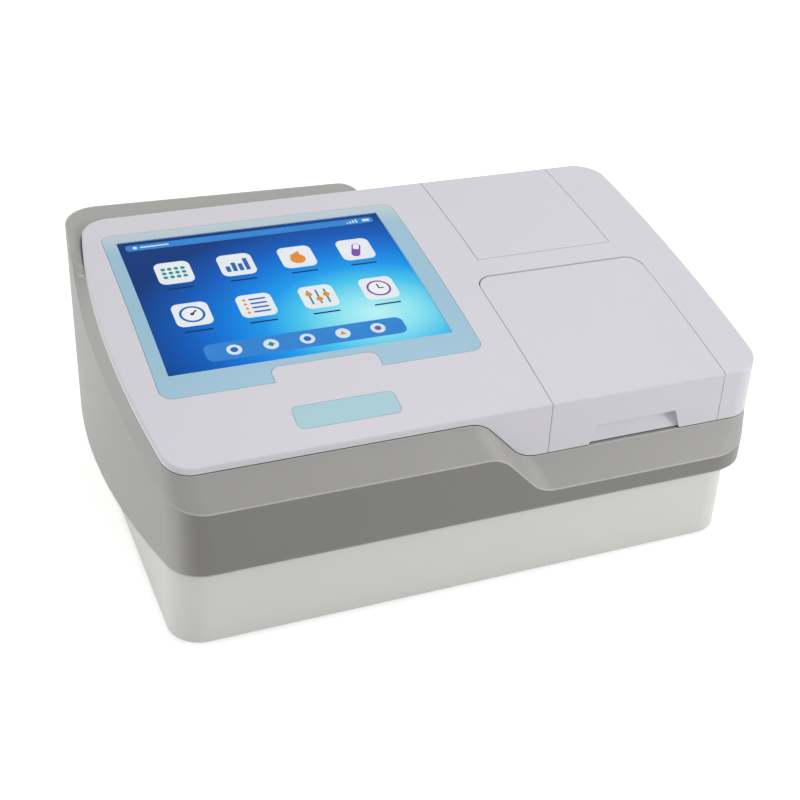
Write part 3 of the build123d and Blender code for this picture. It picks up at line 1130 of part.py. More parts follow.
def rear_panel():
    body = block(PANEL_X0, PANEL_X1, PANEL_FRONT_Y, PANEL_BACK_Y, PANEL_Z0, PANEL_Z1)
    body -= panel_cut(INLET_X, PANEL_MIDDLE_Z, INLET_WIDTH + 0.2, INLET_HEIGHT + 0.2)
    body -= panel_cut(SWITCH_X, PANEL_MIDDLE_Z, SWITCH_WIDTH + 0.2, SWITCH_HEIGHT + 0.2)
    for x, z, width, height in PORTS.values():
        body -= panel_cut(x, z, width + 0.2, height + 0.2)
    slot, pitch = 3.0, 6.0
    for i in range(-4, 5):
        reach = math.sqrt((FAN_BORE_RADIUS - 1) ** 2 - (i * pitch) ** 2)
        body -= panel_cut(FAN_X, PANEL_MIDDLE_Z + i * pitch, 2 * reach, slot)
    for x, z in panel_screw_places():
        body -= rod_y(x, PANEL_FRONT_Y - 1, PANEL_BACK_Y + 1, z, SCREW_RADIUS + SCREW_CLEARANCE)
    return body


def panel_screw_places():
    inset = PANEL_OVERLAP + SCREW_HEAD_RADIUS + 1.5
    return [(x, z) for x in (PANEL_X0 + inset, PANEL_X1 - inset) for z in (PANEL_Z0 + inset, PANEL_Z1 - inset)]


def panel_screws():
    return [rod_y(x, PANEL_FRONT_Y - 4, PANEL_BACK_Y, z, SCREW_RADIUS)
            + rod_y(x, PANEL_BACK_Y, PANEL_BACK_Y + SCREW_HEAD_HEIGHT, z, SCREW_HEAD_RADIUS)
            for x, z in panel_screw_places()]


def power_inlet():
    x, z, width, height = INLET_X, PANEL_MIDDLE_Z, INLET_WIDTH, INLET_HEIGHT
    face = PANEL_BACK_Y + FLANGE_THICKNESS
    body = block(x - width / 2, x + width / 2, face - INLET_DEPTH, face, z - height / 2, z + height / 2)
    flange = INLET_FLANGE
    body += block(x - width / 2 - flange, x + width / 2 + flange, PANEL_BACK_Y, face, z - height / 2 - flange,
                  z + height / 2 + flange)
    socket = block(x - SOCKET_WIDTH / 2, x + SOCKET_WIDTH / 2, face - SOCKET_DEPTH, face, z - SOCKET_HEIGHT / 2,
                   z + SOCKET_HEIGHT / 2)
    socket = chamfer(socket.edges().filter_by(Axis.Y).sort_by(Axis.Z)[-2:], 4)
    body -= socket
    for dx, dz in ((-7, -2), (7, -2), (0, 2)):
        body += block(x + dx - 1, x + dx + 1, face - SOCKET_DEPTH, face - 3, z + dz - 2, z + dz + 2)
    return body


def switch_frame():
    x, z = SWITCH_X, PANEL_MIDDLE_Z
    face = PANEL_BACK_Y + FLANGE_THICKNESS
    body = block(x - SWITCH_WIDTH / 2, x + SWITCH_WIDTH / 2, face - SWITCH_DEPTH, face, z - SWITCH_HEIGHT / 2,
                 z + SWITCH_HEIGHT / 2)
    body += block(x - SWITCH_WIDTH / 2 - 2, x + SWITCH_WIDTH / 2 + 2, PANEL_BACK_Y, face, z - SWITCH_HEIGHT / 2 - 2,
                  z + SWITCH_HEIGHT / 2 + 2)
    half_w, half_h = ROCKER_WIDTH / 2 + ROCKER_GAP, ROCKER_HEIGHT / 2 + ROCKER_GAP
    body -= block(x - half_w, x + half_w, face - SWITCH_DEPTH + 2, face, z - half_h, z + half_h)
    return body + rod_x(x - SWITCH_WIDTH / 2, x + SWITCH_WIDTH / 2, ROCKER_Y, z, PIN_RADIUS)


ROCKER_Y = PANEL_BACK_Y + FLANGE_THICKNESS - ROCKER_RECESS


def power_rocker():
    """Rocker with a hollow face, stored in its off position."""
    x, z = SWITCH_X, PANEL_MIDDLE_Z
    face = PANEL_BACK_Y + FLANGE_THICKNESS
    crown = face + ROCKER_PROUD
    hollow_y = crown - ROCKER_HOLLOW_DEPTH + ROCKER_HOLLOW_RADIUS
    body = rod_x(x - ROCKER_WIDTH / 2, x + ROCKER_WIDTH / 2, ROCKER_Y, z, ROCKER_HEIGHT / 2 - 0.2)
    body &= block(x - ROCKER_WIDTH, x + ROCKER_WIDTH, ROCKER_Y - 3, crown, z - ROCKER_HEIGHT, z + ROCKER_HEIGHT)
    body -= rod_x(x - ROCKER_WIDTH, x + ROCKER_WIDTH, hollow_y, z, ROCKER_HOLLOW_RADIUS)
    body = Pos(0, ROCKER_Y, z) * Rot(ROCKER_TILT, 0, 0) * Pos(0, -ROCKER_Y, -z) * body
    return body - rod_x(x - ROCKER_WIDTH, x + ROCKER_WIDTH, ROCKER_Y, z, PIN_RADIUS + RUNNING_FIT)


def fan_frame():
    half = FAN_SIZE / 2
    y1 = PANEL_FRONT_Y
    y0 = y1 - FAN_DEPTH
    body = block(FAN_X - half, FAN_X + half, y0, y1, PANEL_MIDDLE_Z - half, PANEL_MIDDLE_Z + half)
    body = fillet(body.edges().filter_by(Axis.Y), 4)
    body -= rod_y(FAN_X, y0, y1, PANEL_MIDDLE_Z, FAN_BORE_RADIUS)
    for turn in (45, 135):
        body += Pos(FAN_X, y0 + 1.5, PANEL_MIDDLE_Z) * Rot(0, turn, 0) * Box(2 * FAN_BORE_RADIUS + 2, 3, 4)
    body += rod_y(FAN_X, y0, y0 + 3, PANEL_MIDDLE_Z, FAN_HUB_RADIUS)
    return body + rod_y(FAN_X, y0, y1 - 3, PANEL_MIDDLE_Z, FAN_SHAFT_RADIUS)


def fan_rotor():
    y0, y1 = PANEL_FRONT_Y - FAN_DEPTH + 3.5, PANEL_FRONT_Y - 1
    middle = (y0 + y1) / 2
    body = rod_y(FAN_X, y0, y1, PANEL_MIDDLE_Z, FAN_HUB_RADIUS)
    blade = Pos(0, 0, (FAN_HUB_RADIUS + FAN_BLADE_RADIUS) / 2 - 0.5) * Rot(0, 0, 40) * Box(
        14, 1.4, FAN_BLADE_RADIUS - FAN_HUB_RADIUS + 1)
    for i in range(FAN_BLADES):
        body += Pos(FAN_X, middle, PANEL_MIDDLE_Z) * Rot(0, 360 / FAN_BLADES * i, 0) * blade
    body &= rod_y(FAN_X, y0, y1, PANEL_MIDDLE_Z, FAN_BLADE_RADIUS)
    return body - rod_y(FAN_X, y0, y1 - 1.5, PANEL_MIDDLE_Z, FAN_SHAFT_RADIUS + RUNNING_FIT)


def port(name):
    """Connector shell in the rear panel with an open mouth."""
    x, z, width, height = PORTS[name]
    back = PANEL_BACK_Y + PORT_LIP
    body = block(x - width / 2, x + width / 2, back - PORT_DEPTH, back, z - height / 2, z + height / 2)
    mouth = block(x - width / 2 + 1, x + width / 2 - 1, back - PORT_DEPTH + 3, back, z - height / 2 + 1,
                  z + height / 2 - 1)
    tongue = block(x - width / 2 + 3, x + width / 2 - 3, back - PORT_DEPTH + 3, back - 3, z - 1, z + 1)
    return body - mouth + tongue


# ---------------------------------------------------------------- all the nodes
SINGLE = (mid_housing, base_tub, top_cover, plate_lid, optics_cover, lid_hinge_pin, optics_hinge_pin, display_bezel,
          touch_glass, display_panel, label_plate, display_bracket, display_board, chassis_plate, power_supply,
          main_board, compartment_liner, plate_carrier, plate_clamp, clamp_pin, drive_belt, belt_clamp, drive_pulley,
          drive_motor, idler_pulley, idler_bracket, optics_deck, lens_block, detector_board, filter_wheel,
          wheel_bracket, wheel_motor, light_coupler, fibre_guide, lamp_housing, lamp, rear_panel, power_inlet,
          switch_frame, power_rocker, fan_frame, fan_rotor)
GROUPS = (rubber_feet, chassis_screws, board_standoffs, guide_rods, rod_supports, slide_bushings, lens_tubes,
          filters, panel_screws)


def main():
    os.makedirs("parts", exist_ok=True)
    nodes = {make.__name__: make() for make in SINGLE}
    nodes.update({make.__name__: Compound(children=make()) for make in GROUPS})
    nodes.update({name: port(name) for name in PORTS})
    for name, shape in nodes.items():
        shape.label = name
        export_step(shape, "parts/" + name + ".step")


if __name__ == "__main__":
    main()
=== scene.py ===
import math

import bmesh
import bpy
from mathutils import Matrix, Vector


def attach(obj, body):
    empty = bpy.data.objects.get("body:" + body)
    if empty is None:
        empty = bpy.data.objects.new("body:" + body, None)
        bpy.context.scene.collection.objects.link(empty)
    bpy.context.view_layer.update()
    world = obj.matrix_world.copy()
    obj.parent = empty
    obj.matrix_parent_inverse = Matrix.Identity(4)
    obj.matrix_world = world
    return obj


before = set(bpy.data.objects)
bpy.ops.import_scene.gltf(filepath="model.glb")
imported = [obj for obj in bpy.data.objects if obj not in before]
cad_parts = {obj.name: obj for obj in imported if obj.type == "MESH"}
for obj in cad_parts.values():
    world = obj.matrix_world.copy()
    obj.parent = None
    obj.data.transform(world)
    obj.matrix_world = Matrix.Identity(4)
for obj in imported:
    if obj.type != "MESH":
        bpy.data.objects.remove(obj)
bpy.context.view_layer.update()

# Bench microplate reader: white cover, grey housing and pale base, with a lit touch display.
# Metres, in the frame of the solids: X to the right, Y to the rear, Z up from the bench.

MM = 0.001
CREASE_ROUND = 1.6           # millimetres, rounded edge of the housing's crease, and the width of the painted highlight on the housing's edges
SEAM_SHADE_REACH = 2.8              # millimetres from a seam within which painted shade darkens the paint
SCREEN_GLOW = 0.95           # how brightly the display is lit from behind
FLOOR_GLOW = 0.55            # added to the floor's own shade where it is seen
WORLD_GLOW = 0.45            # strength of the studio's own light
DRIFT_SCALE = 9.0            # a surface's colour drifts over about a decimetre
GRAIN_STRENGTH = 0.25
FILM_FADE_Y = (78.0, 108.0)  # millimetres, where the blue film's print fades towards the rear
FILM_FADE = 0.75

# Lit area of the display: the middle of the glass's face and its slope
SCREEN_MIDDLE = Vector((-91.3, 18.799, 177.52)) * MM
SCREEN_SLOPE = math.radians(10.466)
SCREEN_PLACE = Matrix.Translation(SCREEN_MIDDLE) @ Matrix.Rotation(SCREEN_SLOPE, 4, "X") @ Matrix.Scale(MM, 4)

CAMERA_PLACE = (-0.37298, -0.86157, 0.63533)
CAMERA_AZIMUTH = math.radians(-23.483)
CAMERA_ELEVATION = math.radians(30.864)
CAMERA_ROLL = math.radians(2.828)
CAMERA_LENS = 61.9

FLOOR_SIZE = 6.0             # half the floor's side, in metres
# Soft round lamps: place, what each one faces, its width in metres and its power in watts
LAMPS = {
    "key": ((-2.2, 0.2, 0.7), (0, 0, 0.1), 1.2, 11),
    "top": ((0.5, 0.3, 2.2), (0, 0, 0.1), 1.6, 15),
    "front": ((1.6, -1.3, 0.8), (0.2, 0, 0.1), 0.9, 15),
}


# ---------------------------------------------------------------- materials
COLOUR_A, COLOUR_B, COLOUR_OUT = 6, 7, 2     # the colour sockets of a Mix node


def linear(code):
    """Linear RGBA of an sRGB hex colour."""
    channels = [int(code[i:i + 2], 16) / 255 for i in (1, 3, 5)]
    return [c / 12.92 if c <= 0.04045 else ((c + 0.055) / 1.055) ** 2.4 for c in channels] + [1.0]


def add(tree, kind, values=None, **settings):
    """Adds a node with its settings; an input's value is a number, a colour or another node's output."""
    node = tree.nodes.new(kind)
    for name, value in settings.items():
        setattr(node, name, value)
    for name, value in (values or {}).items():
        if isinstance(value, bpy.types.NodeSocket):
            tree.links.new(value, node.inputs[name])
        else:
            node.inputs[name].default_value = value
    return node


def finish(name, **inputs):
    """A new material with its shader; the inputs are the shader's own, with spaces as underscores."""
    material = bpy.data.materials.new(name)
    material.use_nodes = True
    tree = material.node_tree
    shader = tree.nodes["Principled BSDF"]
    for key, value in inputs.items():
        shader.inputs[key.replace("_", " ")].default_value = value
    return material, tree, shader


def textured(name, colour, shade, grain, depth, **inputs):
    """A surface with a raised grain and a slow drift between two close colours.

    Grain and depth are in millimetres. The real grains are finer; these are as coarse as they need to show.
    """
    material, tree, shader = finish(name, **inputs)
    place = add(tree, "ShaderNodeTexCoord").outputs["Object"]
    drift = add(tree, "ShaderNodeTexNoise", {"Vector": place, "Scale": DRIFT_SCALE, "Detail": 3.0})
    mix = add(tree, "ShaderNodeMix", {"Factor": drift.outputs["Fac"], COLOUR_A: linear(colour),
                                      COLOUR_B: linear(shade)}, data_type="RGBA")
    tree.links.new(mix.outputs[COLOUR_OUT], shader.inputs["Base Color"])
    grit = add(tree, "ShaderNodeTexNoise", {"Vector": place, "Scale": 1 / (grain * MM), "Detail": 2.0})
    bump = add(tree, "ShaderNodeBump", {"Height": grit.outputs["Fac"], "Strength": GRAIN_STRENGTH,
                                        "Distance": depth * MM})
    tree.links.new(bump.outputs["Normal"], shader.inputs["Normal"])
    return material


# Injection-moulded ABS with a fine spark-eroded texture: satin, with soft broad highlights
white_abs = textured("white_abs", "#D9D7DE", "#D5D3DA", 1.4, 0.02, Roughness=0.42, IOR=1.53)
# Fine two-pack paint on moulded plastic: a little flatter than bare ABS
pale_paint = textured("pale_paint", "#E0E0DC", "#DCDCD8", 1.2, 0.02, Roughness=0.5, IOR=1.5)
# Printed polyester film under a hard coat: even colour, clear soft gloss
label_film = textured("label_film", "#A2CCD6", "#9DC8D4", 3.0, 0.004, Roughness=0.35, IOR=1.57)
# Moulded ABS in black: a dull sheen that shows its texture
black_abs = textured("black_abs", "#1C1C1E", "#212123", 1.2, 0.03, Roughness=0.45, IOR=1.53)
# Polished mould, bare ABS: sharper highlights, hardly any grain
black_gloss_abs = textured("black_gloss_abs", "#141415", "#171718", 2.0, 0.005, Roughness=0.18, IOR=1.53)
# Vulcanised rubber: matt, with a dusty grain
black_rubber = textured("black_rubber", "#222222", "#1B1B1B", 0.8, 0.05, Roughness=0.8, IOR=1.52)
# Zinc-plated sheet steel: spangled grey, dull metal
plated_sheet = textured("plated_sheet", "#A9ABAC", "#9C9FA1", 2.5, 0.01, Roughness=0.42, Metallic=1.0)
# Centreless ground steel: bright, with narrow highlights
ground_steel = textured("ground_steel", "#C4C4C5", "#BDBDBF", 1.0, 0.003, Roughness=0.18, Metallic=1.0)
# Milled aluminium: pale, with a soft sheen from the cutter's marks
milled_aluminium = textured("milled_aluminium", "#C9CACC", "#C2C3C6", 1.0, 0.01, Roughness=0.35, Metallic=1.0)
# Black anodised aluminium: dark and silky, half metal, half dye
black_anodised = textured("black_anodised", "#26272A", "#2B2C2F", 0.8, 0.01, Roughness=0.4, Metallic=0.6)
# Oil-filled sintered bronze: brown-gold, with open pores
sintered_bronze = textured("sintered_bronze", "#B08A4E", "#A37E45", 0.7, 0.03, Roughness=0.45, Metallic=1.0)
# Solder mask over glass fibre: green lacquer with a soft gloss
circuit_board = textured("circuit_board", "#1E5B36", "#1A5030", 2.0, 0.02, Roughness=0.35, IOR=1.5)
# Lamp glass, frosted white by its lit filament
lamp_bulb = textured("lamp_bulb", "#F2EFE4", "#ECE8DB", 4.0, 0.002, Roughness=0.1, IOR=1.47)
# Coated filter glass: violet and nearly mirror smooth
filter_glass = textured("filter_glass", "#9C4FA0", "#8C4596", 4.0, 0.002, Roughness=0.05, IOR=1.52)


def faded_film():
    """Blue polyester film, paler along its rear edge, where the print fades out."""
    material = textured("blue_film", "#9AC4D9", "#95BFD5", 3.0, 0.004, Roughness=0.3, IOR=1.57)
    tree = material.node_tree
    shader = tree.nodes["Principled BSDF"]
    print_colour = shader.inputs["Base Color"].links[0].from_socket
    place = add(tree, "ShaderNodeTexCoord").outputs["Object"]
    along = add(tree, "ShaderNodeSeparateXYZ", {"Vector": place})
    fade = add(tree, "ShaderNodeMapRange", {"Value": along.outputs["Y"], "From Min": FILM_FADE_Y[0] * MM,
                                            "From Max": FILM_FADE_Y[1] * MM, "To Max": FILM_FADE},
               interpolation_type="SMOOTHSTEP")
    pale = add(tree, "ShaderNodeMix", {"Factor": fade.outputs[0], COLOUR_A: print_colour,
                                       COLOUR_B: linear("#C9D3D8")}, data_type="RGBA")
    tree.links.new(pale.outputs[COLOUR_OUT], shader.inputs["Base Color"])
    return material


def housing_paint():
    """Satin two-pack paint, with painted shade facing front and down and in seams, and painted highlights on
    sharp edges.
    """
    material = textured("grey_paint", "#A7A6A3", "#A1A09D", 1.2, 0.02, Roughness=0.5, IOR=1.5)
    tree = material.node_tree
    shader = tree.nodes["Principled BSDF"]
    paint = shader.inputs["Base Color"].links[0].from_socket
    grain = shader.inputs["Normal"].links[0].from_node
    rounded = add(tree, "ShaderNodeBevel", {"Radius": CREASE_ROUND * MM}, samples=6)
    tree.links.new(rounded.outputs["Normal"], grain.inputs["Normal"])
    surface = add(tree, "ShaderNodeNewGeometry")
    # Painted shade: faces turned to the front and downwards are mixed towards a darker grey, #7F7E7D.
    forward = add(tree, "ShaderNodeVectorMath", {0: surface.outputs["Normal"], 1: (0, -1, -1.2)},
                  operation="DOT_PRODUCT")
    front_shade_mask = add(tree, "ShaderNodeMapRange", {"Value": forward.outputs["Value"], "From Min": 0.5,
                                               "From Max": 1.0}, interpolation_type="SMOOTHSTEP")
    painted_front_shade = add(tree, "ShaderNodeMix", {"Factor": front_shade_mask.outputs[0], COLOUR_A: paint,
                                       COLOUR_B: linear("#7F7E7D")}, data_type="RGBA")
    # Painted highlight: near every sharp edge, the crease among them, the paint is mixed towards a pale grey,
    # #CFCECA.
    bent = add(tree, "ShaderNodeVectorMath", {0: rounded.outputs["Normal"],
                                              1: surface.outputs["True Normal"]}, operation="DOT_PRODUCT")
    edge = add(tree, "ShaderNodeMapRange", {"Value": bent.outputs["Value"], "From Min": 0.998,
                                            "From Max": 0.986})
    painted_edge_highlight = add(tree, "ShaderNodeMix", {"Factor": edge.outputs[0], COLOUR_A: painted_front_shade.outputs[COLOUR_OUT],
                                       COLOUR_B: linear("#CFCECA")}, data_type="RGBA")
    # Painted shade: within a few millimetres of a seam or recess, the paint is mixed towards a dark grey,
    # #4A4846.
    closed_in = add(tree, "ShaderNodeAmbientOcclusion", {"Distance": SEAM_SHADE_REACH * MM}, samples=8)
    seam = add(tree, "ShaderNodeMapRange", {"Value": closed_in.outputs["AO"], "From Min": 0.76,
                                            "From Max": 0.5})
    painted_seam_shade = add(tree, "ShaderNodeMix", {"Factor": seam.outputs[0], COLOUR_A: painted_edge_highlight.outputs[COLOUR_OUT],
                                        COLOUR_B: linear("#4A4846")}, data_type="RGBA")
    tree.links.new(painted_seam_shade.outputs[COLOUR_OUT], shader.inputs["Base Color"])
    return material


GLOW_X, GLOW_Y = 0.060, -0.045       # metres on the display, where the picture is brightest
GLOW_REACH, GLOW_SQUEEZE = 0.185, 1.4


def lit_screen():
    """Chemically toughened glass over a lit panel: deep blue at the rear left, cyan from the front right."""
    material, tree, shader = finish("lit_screen", Roughness=0.15, IOR=1.52, Specular_IOR_Level=0.05,
                                    Base_Color=linear("#06080C"), Emission_Strength=SCREEN_GLOW)
    place = add(tree, "ShaderNodeTexCoord").outputs["Object"]
    centred = add(tree, "ShaderNodeVectorMath", {0: place, 1: -SCREEN_MIDDLE}, operation="ADD")
    level = add(tree, "ShaderNodeMapping", {"Vector": centred.outputs[0], "Rotation": (-SCREEN_SLOPE, 0, 0)})
    scale_x, scale_y = 1 / GLOW_REACH, GLOW_SQUEEZE / GLOW_REACH
    spot = add(tree, "ShaderNodeMapping", {"Vector": level.outputs[0], "Scale": (scale_x, scale_y, 0),
                                           "Location": (-GLOW_X * scale_x, -GLOW_Y * scale_y, 0)})
    far = add(tree, "ShaderNodeVectorMath", {0: spot.outputs[0]}, operation="LENGTH")
    ramp = add(tree, "ShaderNodeValToRGB", {"Fac": far.outputs["Value"]})
    stops = ramp.color_ramp.elements
    stops[0].position, stops[0].color = 0.0, linear("#BDF6FA")
    stops[1].position, stops[1].color = 1.0, linear("#04387C")
    for position, colour in ((0.16, "#8FE6F4"), (0.32, "#45C6F0"), (0.46, "#109AEE"), (0.6, "#007CDE"),
                             (0.76, "#005CBC")):
        stop = stops.new(position)
        stop.color = linear(colour)
    tree.links.new(ramp.outputs["Color"], shader.inputs["Emission Color"])
    return material


NODE_FINISHES = {
    white_abs: ["top_cover", "plate_lid", "optics_cover"],
    housing_paint(): ["mid_housing"],
    pale_paint: ["base_tub"],
    faded_film(): ["display_bezel"],
    label_film: ["label_plate"],
    lit_screen(): ["touch_glass"],
    black_abs: ["display_panel", "power_inlet", "switch_frame", "fan_frame", "fan_rotor", "compartment_liner",
                "data_port", "serial_port", "usb_port"],
    black_gloss_abs: ["power_rocker"],
    black_rubber: ["rubber_feet", "drive_belt", "fibre_guide"],
    plated_sheet: ["display_bracket", "chassis_plate", "power_supply", "rear_panel", "optics_deck",
                   "wheel_bracket", "idler_bracket"],
    ground_steel: ["lid_hinge_pin", "optics_hinge_pin", "guide_rods", "chassis_screws", "panel_screws",
                   "plate_clamp", "clamp_pin"],
    milled_aluminium: ["drive_pulley", "idler_pulley", "belt_clamp", "rod_supports", "lens_tubes",
                       "filter_wheel", "lamp_housing"],
    black_anodised: ["plate_carrier", "drive_motor", "wheel_motor", "lens_block"],
    sintered_bronze: ["slide_bushings", "board_standoffs", "light_coupler"],
    circuit_board: ["display_board", "main_board", "detector_board"],
    lamp_bulb: ["lamp"],
    filter_glass: ["filters"],
}

for material, names in NODE_FINISHES.items():
    for name in names:
        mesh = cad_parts[name].data
        mesh.materials.clear()
        mesh.materials.append(material)


# ---------------------------------------------------------------- what the display shows
# Everything here is laid out in millimetres on the display, from its middle: x to the right, y to the rear.
MARK_LOW = -0.05             # the marks start just inside the glass
MARK_STEP = 0.05             # and each layer stands this much over the one below it
TILE_SIZE = 27.0
TILE_CORNER = 5.5
TILE_XS = (-72.0, -24.0, 24.0, 72.0)
TILE_YS = (36.0, -16.0)
CAPTION_DROP = 19.5
STRIP_Y = 73.0               # middle of the status strip along the rear
DOCK_Y = -62.0               # middle of the dock along the front
DOCK_XS = (-54.0, -27.0, 0.0, 27.0, 54.0)
DOCK_BUTTON, DOCK_MOTIF = 5.6, 2.8
DIAL_RIM = 9.5


def lit_mark(name, colour, shade):
    """A mark on the display: lit from behind, with a faint unevenness of the backlight."""
    material, tree, shader = finish(name, Roughness=0.15, IOR=1.52, Specular_IOR_Level=0.05,
                                    Base_Color=linear("#0A0C10"), Emission_Strength=SCREEN_GLOW)
    place = add(tree, "ShaderNodeTexCoord").outputs["Object"]
    drift = add(tree, "ShaderNodeTexNoise", {"Vector": place, "Scale": 60.0, "Detail": 1.0})
    mix = add(tree, "ShaderNodeMix", {"Factor": drift.outputs["Fac"], COLOUR_A: linear(colour),
                                      COLOUR_B: linear(shade)}, data_type="RGBA")
    tree.links.new(mix.outputs[COLOUR_OUT], shader.inputs["Emission Color"])
    return material


def link_object(name, shape):
    """Makes an object of a finished outline or solid and frees its working mesh."""
    mesh = bpy.data.meshes.new(name)
    shape.to_mesh(mesh)
    shape.free()
    made = bpy.data.objects.new(name, mesh)
    bpy.context.collection.objects.link(made)
    return made


def raise_mark(shape, face, x, y, layer, turn=0.0):
    """Gives a flat outline its thickness and puts it in its place and layer."""
    high = MARK_STEP * (layer + 1)
    bottom = bmesh.ops.extrude_face_region(shape, geom=[face])
    top = [item for item in bottom["geom"] if isinstance(item, bmesh.types.BMVert)]
    verts = list(set(top) | set(face.verts))
    bmesh.ops.translate(shape, verts=top, vec=(0, 0, high - MARK_LOW))
    bmesh.ops.rotate(shape, verts=verts, matrix=Matrix.Rotation(turn, 3, "Z"))
    bmesh.ops.translate(shape, verts=verts, vec=(x, y, MARK_LOW))


def bar(shape, x, y, width, length, corner=0.0, layer=1, turn=0.0):
    """Rounded bar."""
    made = bmesh.ops.create_grid(shape, x_segments=1, y_segments=1, size=0.5)
    bmesh.ops.scale(shape, verts=made["verts"], vec=(width, length, 1))
    face = made["verts"][0].link_faces[0]
    if corner:
        made = bmesh.ops.bevel(shape, geom=made["verts"], offset=corner, segments=5, profile=0.5,
                               affect="VERTICES", material=-1)
        face = made["verts"][0].link_faces[0]
    raise_mark(shape, face, x, y, layer, turn)


def disc(shape, x, y, radius, layer=1, sides=24, turn=0.0):
    """Round dot, or a polygon with few sides."""
    made = bmesh.ops.create_circle(shape, cap_ends=True, segments=sides, radius=radius)
    raise_mark(shape, made["verts"][0].link_faces[0], x, y, layer, turn)


def marks(name, material, draw):
    """One piece of the display's picture, drawn by a function and laid on the glass."""
    shape = bmesh.new()
    draw(shape)
    bmesh.ops.recalc_face_normals(shape, faces=shape.faces)
    bmesh.ops.transform(shape, matrix=SCREEN_PLACE, verts=shape.verts)
    piece = link_object(name, shape)
    piece.data.materials.append(material)
    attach(piece, "casing")


TILES = [(x, y) for y in TILE_YS for x in TILE_XS]
PLATE, CHART, DROP, TUBE, DIAL, LIST, SLIDERS, CLOCK = TILES


def draw_tiles(shape):
    for x, y in TILES:
        bar(shape, x, y, TILE_SIZE, TILE_SIZE, TILE_CORNER, layer=0)


def draw_captions(shape):
    for x, y in TILES:
        bar(shape, x, y - CAPTION_DROP, 21.0, 1.6, 0.7, layer=0)


def draw_strip(shape):
    bar(shape, 0, STRIP_Y, 200.0, 7.5, 2.5, layer=0)
    bar(shape, 0, DOCK_Y, 150.0, 19.0, 6.0, layer=0)


def draw_strip_marks(shape):
    disc(shape, -93.0, STRIP_Y, 1.7)
    bar(shape, -78.0, STRIP_Y, 22.0, 1.5, 0.7)
    for i in range(4):
        bar(shape, 78.0 + 2.6 * i, STRIP_Y - 1.4 + 0.5 * i, 1.4, 1.6 + i, 0.2)
    bar(shape, 94.0, STRIP_Y, 6.0, 3.0, 0.6)
    for x in DOCK_XS:
        disc(shape, x, DOCK_Y, DOCK_BUTTON)


def draw_blue_motifs(shape):
    x, y = CHART
    for i, height in enumerate((7.0, 11.0, 9.0, 15.0)):
        bar(shape, x - 7.5 + 5.0 * i, y - 8.0 + height / 2, 3.4, height, 0.5)
    x, y = DIAL
    disc(shape, x, y, DIAL_RIM)
    x, y = LIST
    for i in range(4):
        bar(shape, x + 2.5, y + 7.5 - 5.0 * i, 13.0, 1.8, 0.8)
    for x in (DOCK_XS[0], DOCK_XS[2]):
        disc(shape, x, DOCK_Y, DOCK_MOTIF, layer=2)


def draw_teal_motifs(shape):
    x, y = PLATE
    for row in range(3):
        for column in range(4):
            disc(shape, x - 7.5 + 5.0 * column, y + 5.0 - 5.0 * row, 1.8, sides=16)
    x, y = SLIDERS
    for i in range(3):
        bar(shape, x - 6.5 + 6.5 * i, y, 1.5, 17.0, 0.6)
    disc(shape, DOCK_XS[1], DOCK_Y, DOCK_MOTIF, layer=2, sides=4)


def draw_orange_motifs(shape):
    x, y = DROP
    disc(shape, x, y - 2.5, 6.0)
    disc(shape, x, y + 2.2, 6.0, sides=3, turn=math.pi / 2)
    x, y = SLIDERS
    for i, rise in enumerate((4.0, -3.0, 1.5)):
        disc(shape, x - 6.5 + 6.5 * i, y + rise, 2.6, layer=2)
    x, y = LIST
    for i in range(4):
        disc(shape, x - 7.5, y + 7.5 - 5.0 * i, 1.3, sides=16)
    disc(shape, DOCK_XS[3], DOCK_Y, DOCK_MOTIF, layer=2, sides=3)


def draw_violet_motifs(shape):
    x, y = TUBE
    bar(shape, x, y - 1.0, 7.0, 17.0, 3.2, turn=math.radians(-20))
    x, y = CLOCK
    disc(shape, x, y, DIAL_RIM)
    disc(shape, DOCK_XS[4], DOCK_Y, DOCK_MOTIF, layer=2, sides=6)


def draw_white_motifs(shape):
    x, y = TUBE
    bar(shape, x + 1.4, y + 3.2, 4.6, 6.5, 0.8, layer=2, turn=math.radians(-20))
    x, y = DIAL
    disc(shape, x, y, 7.6, layer=2)
    x, y = CLOCK
    disc(shape, x, y, 7.8, layer=2)


def draw_dark_motifs(shape):
    x, y = DIAL
    bar(shape, x + 1.6, y + 1.6, 1.3, 6.5, 0.4, layer=3, turn=math.radians(-45))
    disc(shape, x, y, 1.5, layer=3)
    x, y = CLOCK
    bar(shape, x, y + 2.4, 1.1, 5.6, 0.4, layer=3)
    bar(shape, x + 2.0, y, 4.6, 1.1, 0.4, layer=3)


marks("display_tiles", lit_mark("tile_white", "#EEF2F5", "#E3EAF0"), draw_tiles)
marks("display_captions", lit_mark("caption_navy", "#0C2C5E", "#0F3264"), draw_captions)
marks("display_strips", lit_mark("strip_blue", "#2C7FD0", "#3A8BD6"), draw_strip)
marks("display_strip_marks", lit_mark("strip_white", "#DDEAF4", "#D2E3F0"), draw_strip_marks)
marks("display_blue_motifs", lit_mark("motif_blue", "#2563B0", "#2B6CBB"), draw_blue_motifs)
marks("display_teal_motifs", lit_mark("motif_teal", "#1F8F92", "#279A9A"), draw_teal_motifs)
marks("display_orange_motifs", lit_mark("motif_orange", "#E08A34", "#E6963F"), draw_orange_motifs)
marks("display_violet_motifs", lit_mark("motif_violet", "#7B4FA8", "#8457B0"), draw_violet_motifs)
marks("display_white_motifs", lit_mark("motif_white", "#F4F6F8", "#ECF0F3"), draw_white_motifs)
marks("display_dark_motifs", lit_mark("motif_grey", "#33383E", "#3A3F45"), draw_dark_motifs)


# ---------------------------------------------------------------- floor, lights and camera
def seen_directly(tree):
    """The light path node, and an output that is 1 for what is looked at or mirrored and 0 for the rest."""
    path = add(tree, "ShaderNodeLightPath")
    seen = add(tree, "ShaderNodeMath", {0: path.outputs["Is Camera Ray"], 1: path.outputs["Is Glossy Ray"]},
               operation="MAXIMUM")
    return path, seen.outputs[0]


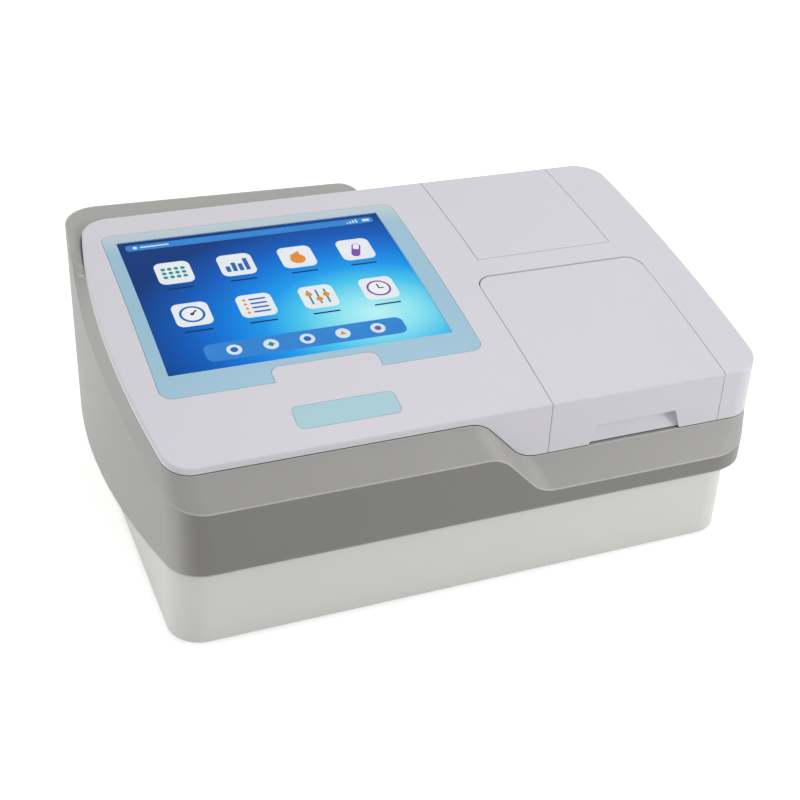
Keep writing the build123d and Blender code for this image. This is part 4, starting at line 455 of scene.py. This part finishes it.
def stage_floor():
    """Matt white paper sheet, lifted a little where it is looked at, so that only contact shadows show."""
    shape = bmesh.new()
    bmesh.ops.create_grid(shape, x_segments=1, y_segments=1, size=FLOOR_SIZE)
    floor = link_object("floor", shape)
    material, tree, shader = finish("pale_floor", Roughness=0.9, Base_Color=linear("#F2F2F2"),
                                    Emission_Color=linear("#FFFFFF"))
    seen = seen_directly(tree)[1]
    glow = add(tree, "ShaderNodeMath", {0: seen, 1: FLOOR_GLOW}, operation="MULTIPLY")
    tree.links.new(glow.outputs[0], shader.inputs["Emission Strength"])
    floor.data.materials.append(material)


def white_world():
    """A white studio, plain white where it is looked at and dimmer as a light."""
    world = bpy.data.worlds.new("studio")
    world.use_nodes = True
    tree = world.node_tree
    background = tree.nodes["Background"]
    background.inputs["Color"].default_value = linear("#FFFFFF")
    path, seen = seen_directly(tree)
    through = add(tree, "ShaderNodeMath", {0: seen, 1: path.outputs["Is Transmission Ray"]},
                  operation="MAXIMUM")
    strength = add(tree, "ShaderNodeMapRange", {"Value": through.outputs[0], "To Min": WORLD_GLOW,
                                                "To Max": 1.0})
    tree.links.new(strength.outputs[0], background.inputs["Strength"])
    bpy.context.scene.world = world


def soft_light(name, place, target, size, power):
    data = bpy.data.lights.new(name, "AREA")
    data.shape = "DISK"
    data.size = size
    data.energy = power
    light = bpy.data.objects.new(name, data)
    bpy.context.collection.objects.link(light)
    light.location = place
    light.rotation_euler = (Vector(target) - Vector(place)).to_track_quat("-Z", "Y").to_euler()


stage_floor()
white_world()
for name, (place, target, size, power) in LAMPS.items():
    soft_light(name, place, target, size, power)

camera = bpy.data.objects.new("camera", bpy.data.cameras.new("camera"))
bpy.context.collection.objects.link(camera)
camera.data.lens = CAMERA_LENS
camera.data.clip_start = 0.05
camera.matrix_world = (Matrix.Translation(CAMERA_PLACE) @ Matrix.Rotation(CAMERA_AZIMUTH, 4, "Z")
                       @ Matrix.Rotation(math.pi / 2 - CAMERA_ELEVATION, 4, "X")
                       @ Matrix.Rotation(CAMERA_ROLL, 4, "Z"))
bpy.context.scene.camera = camera
bpy.context.scene.view_settings.view_transform = "Standard"
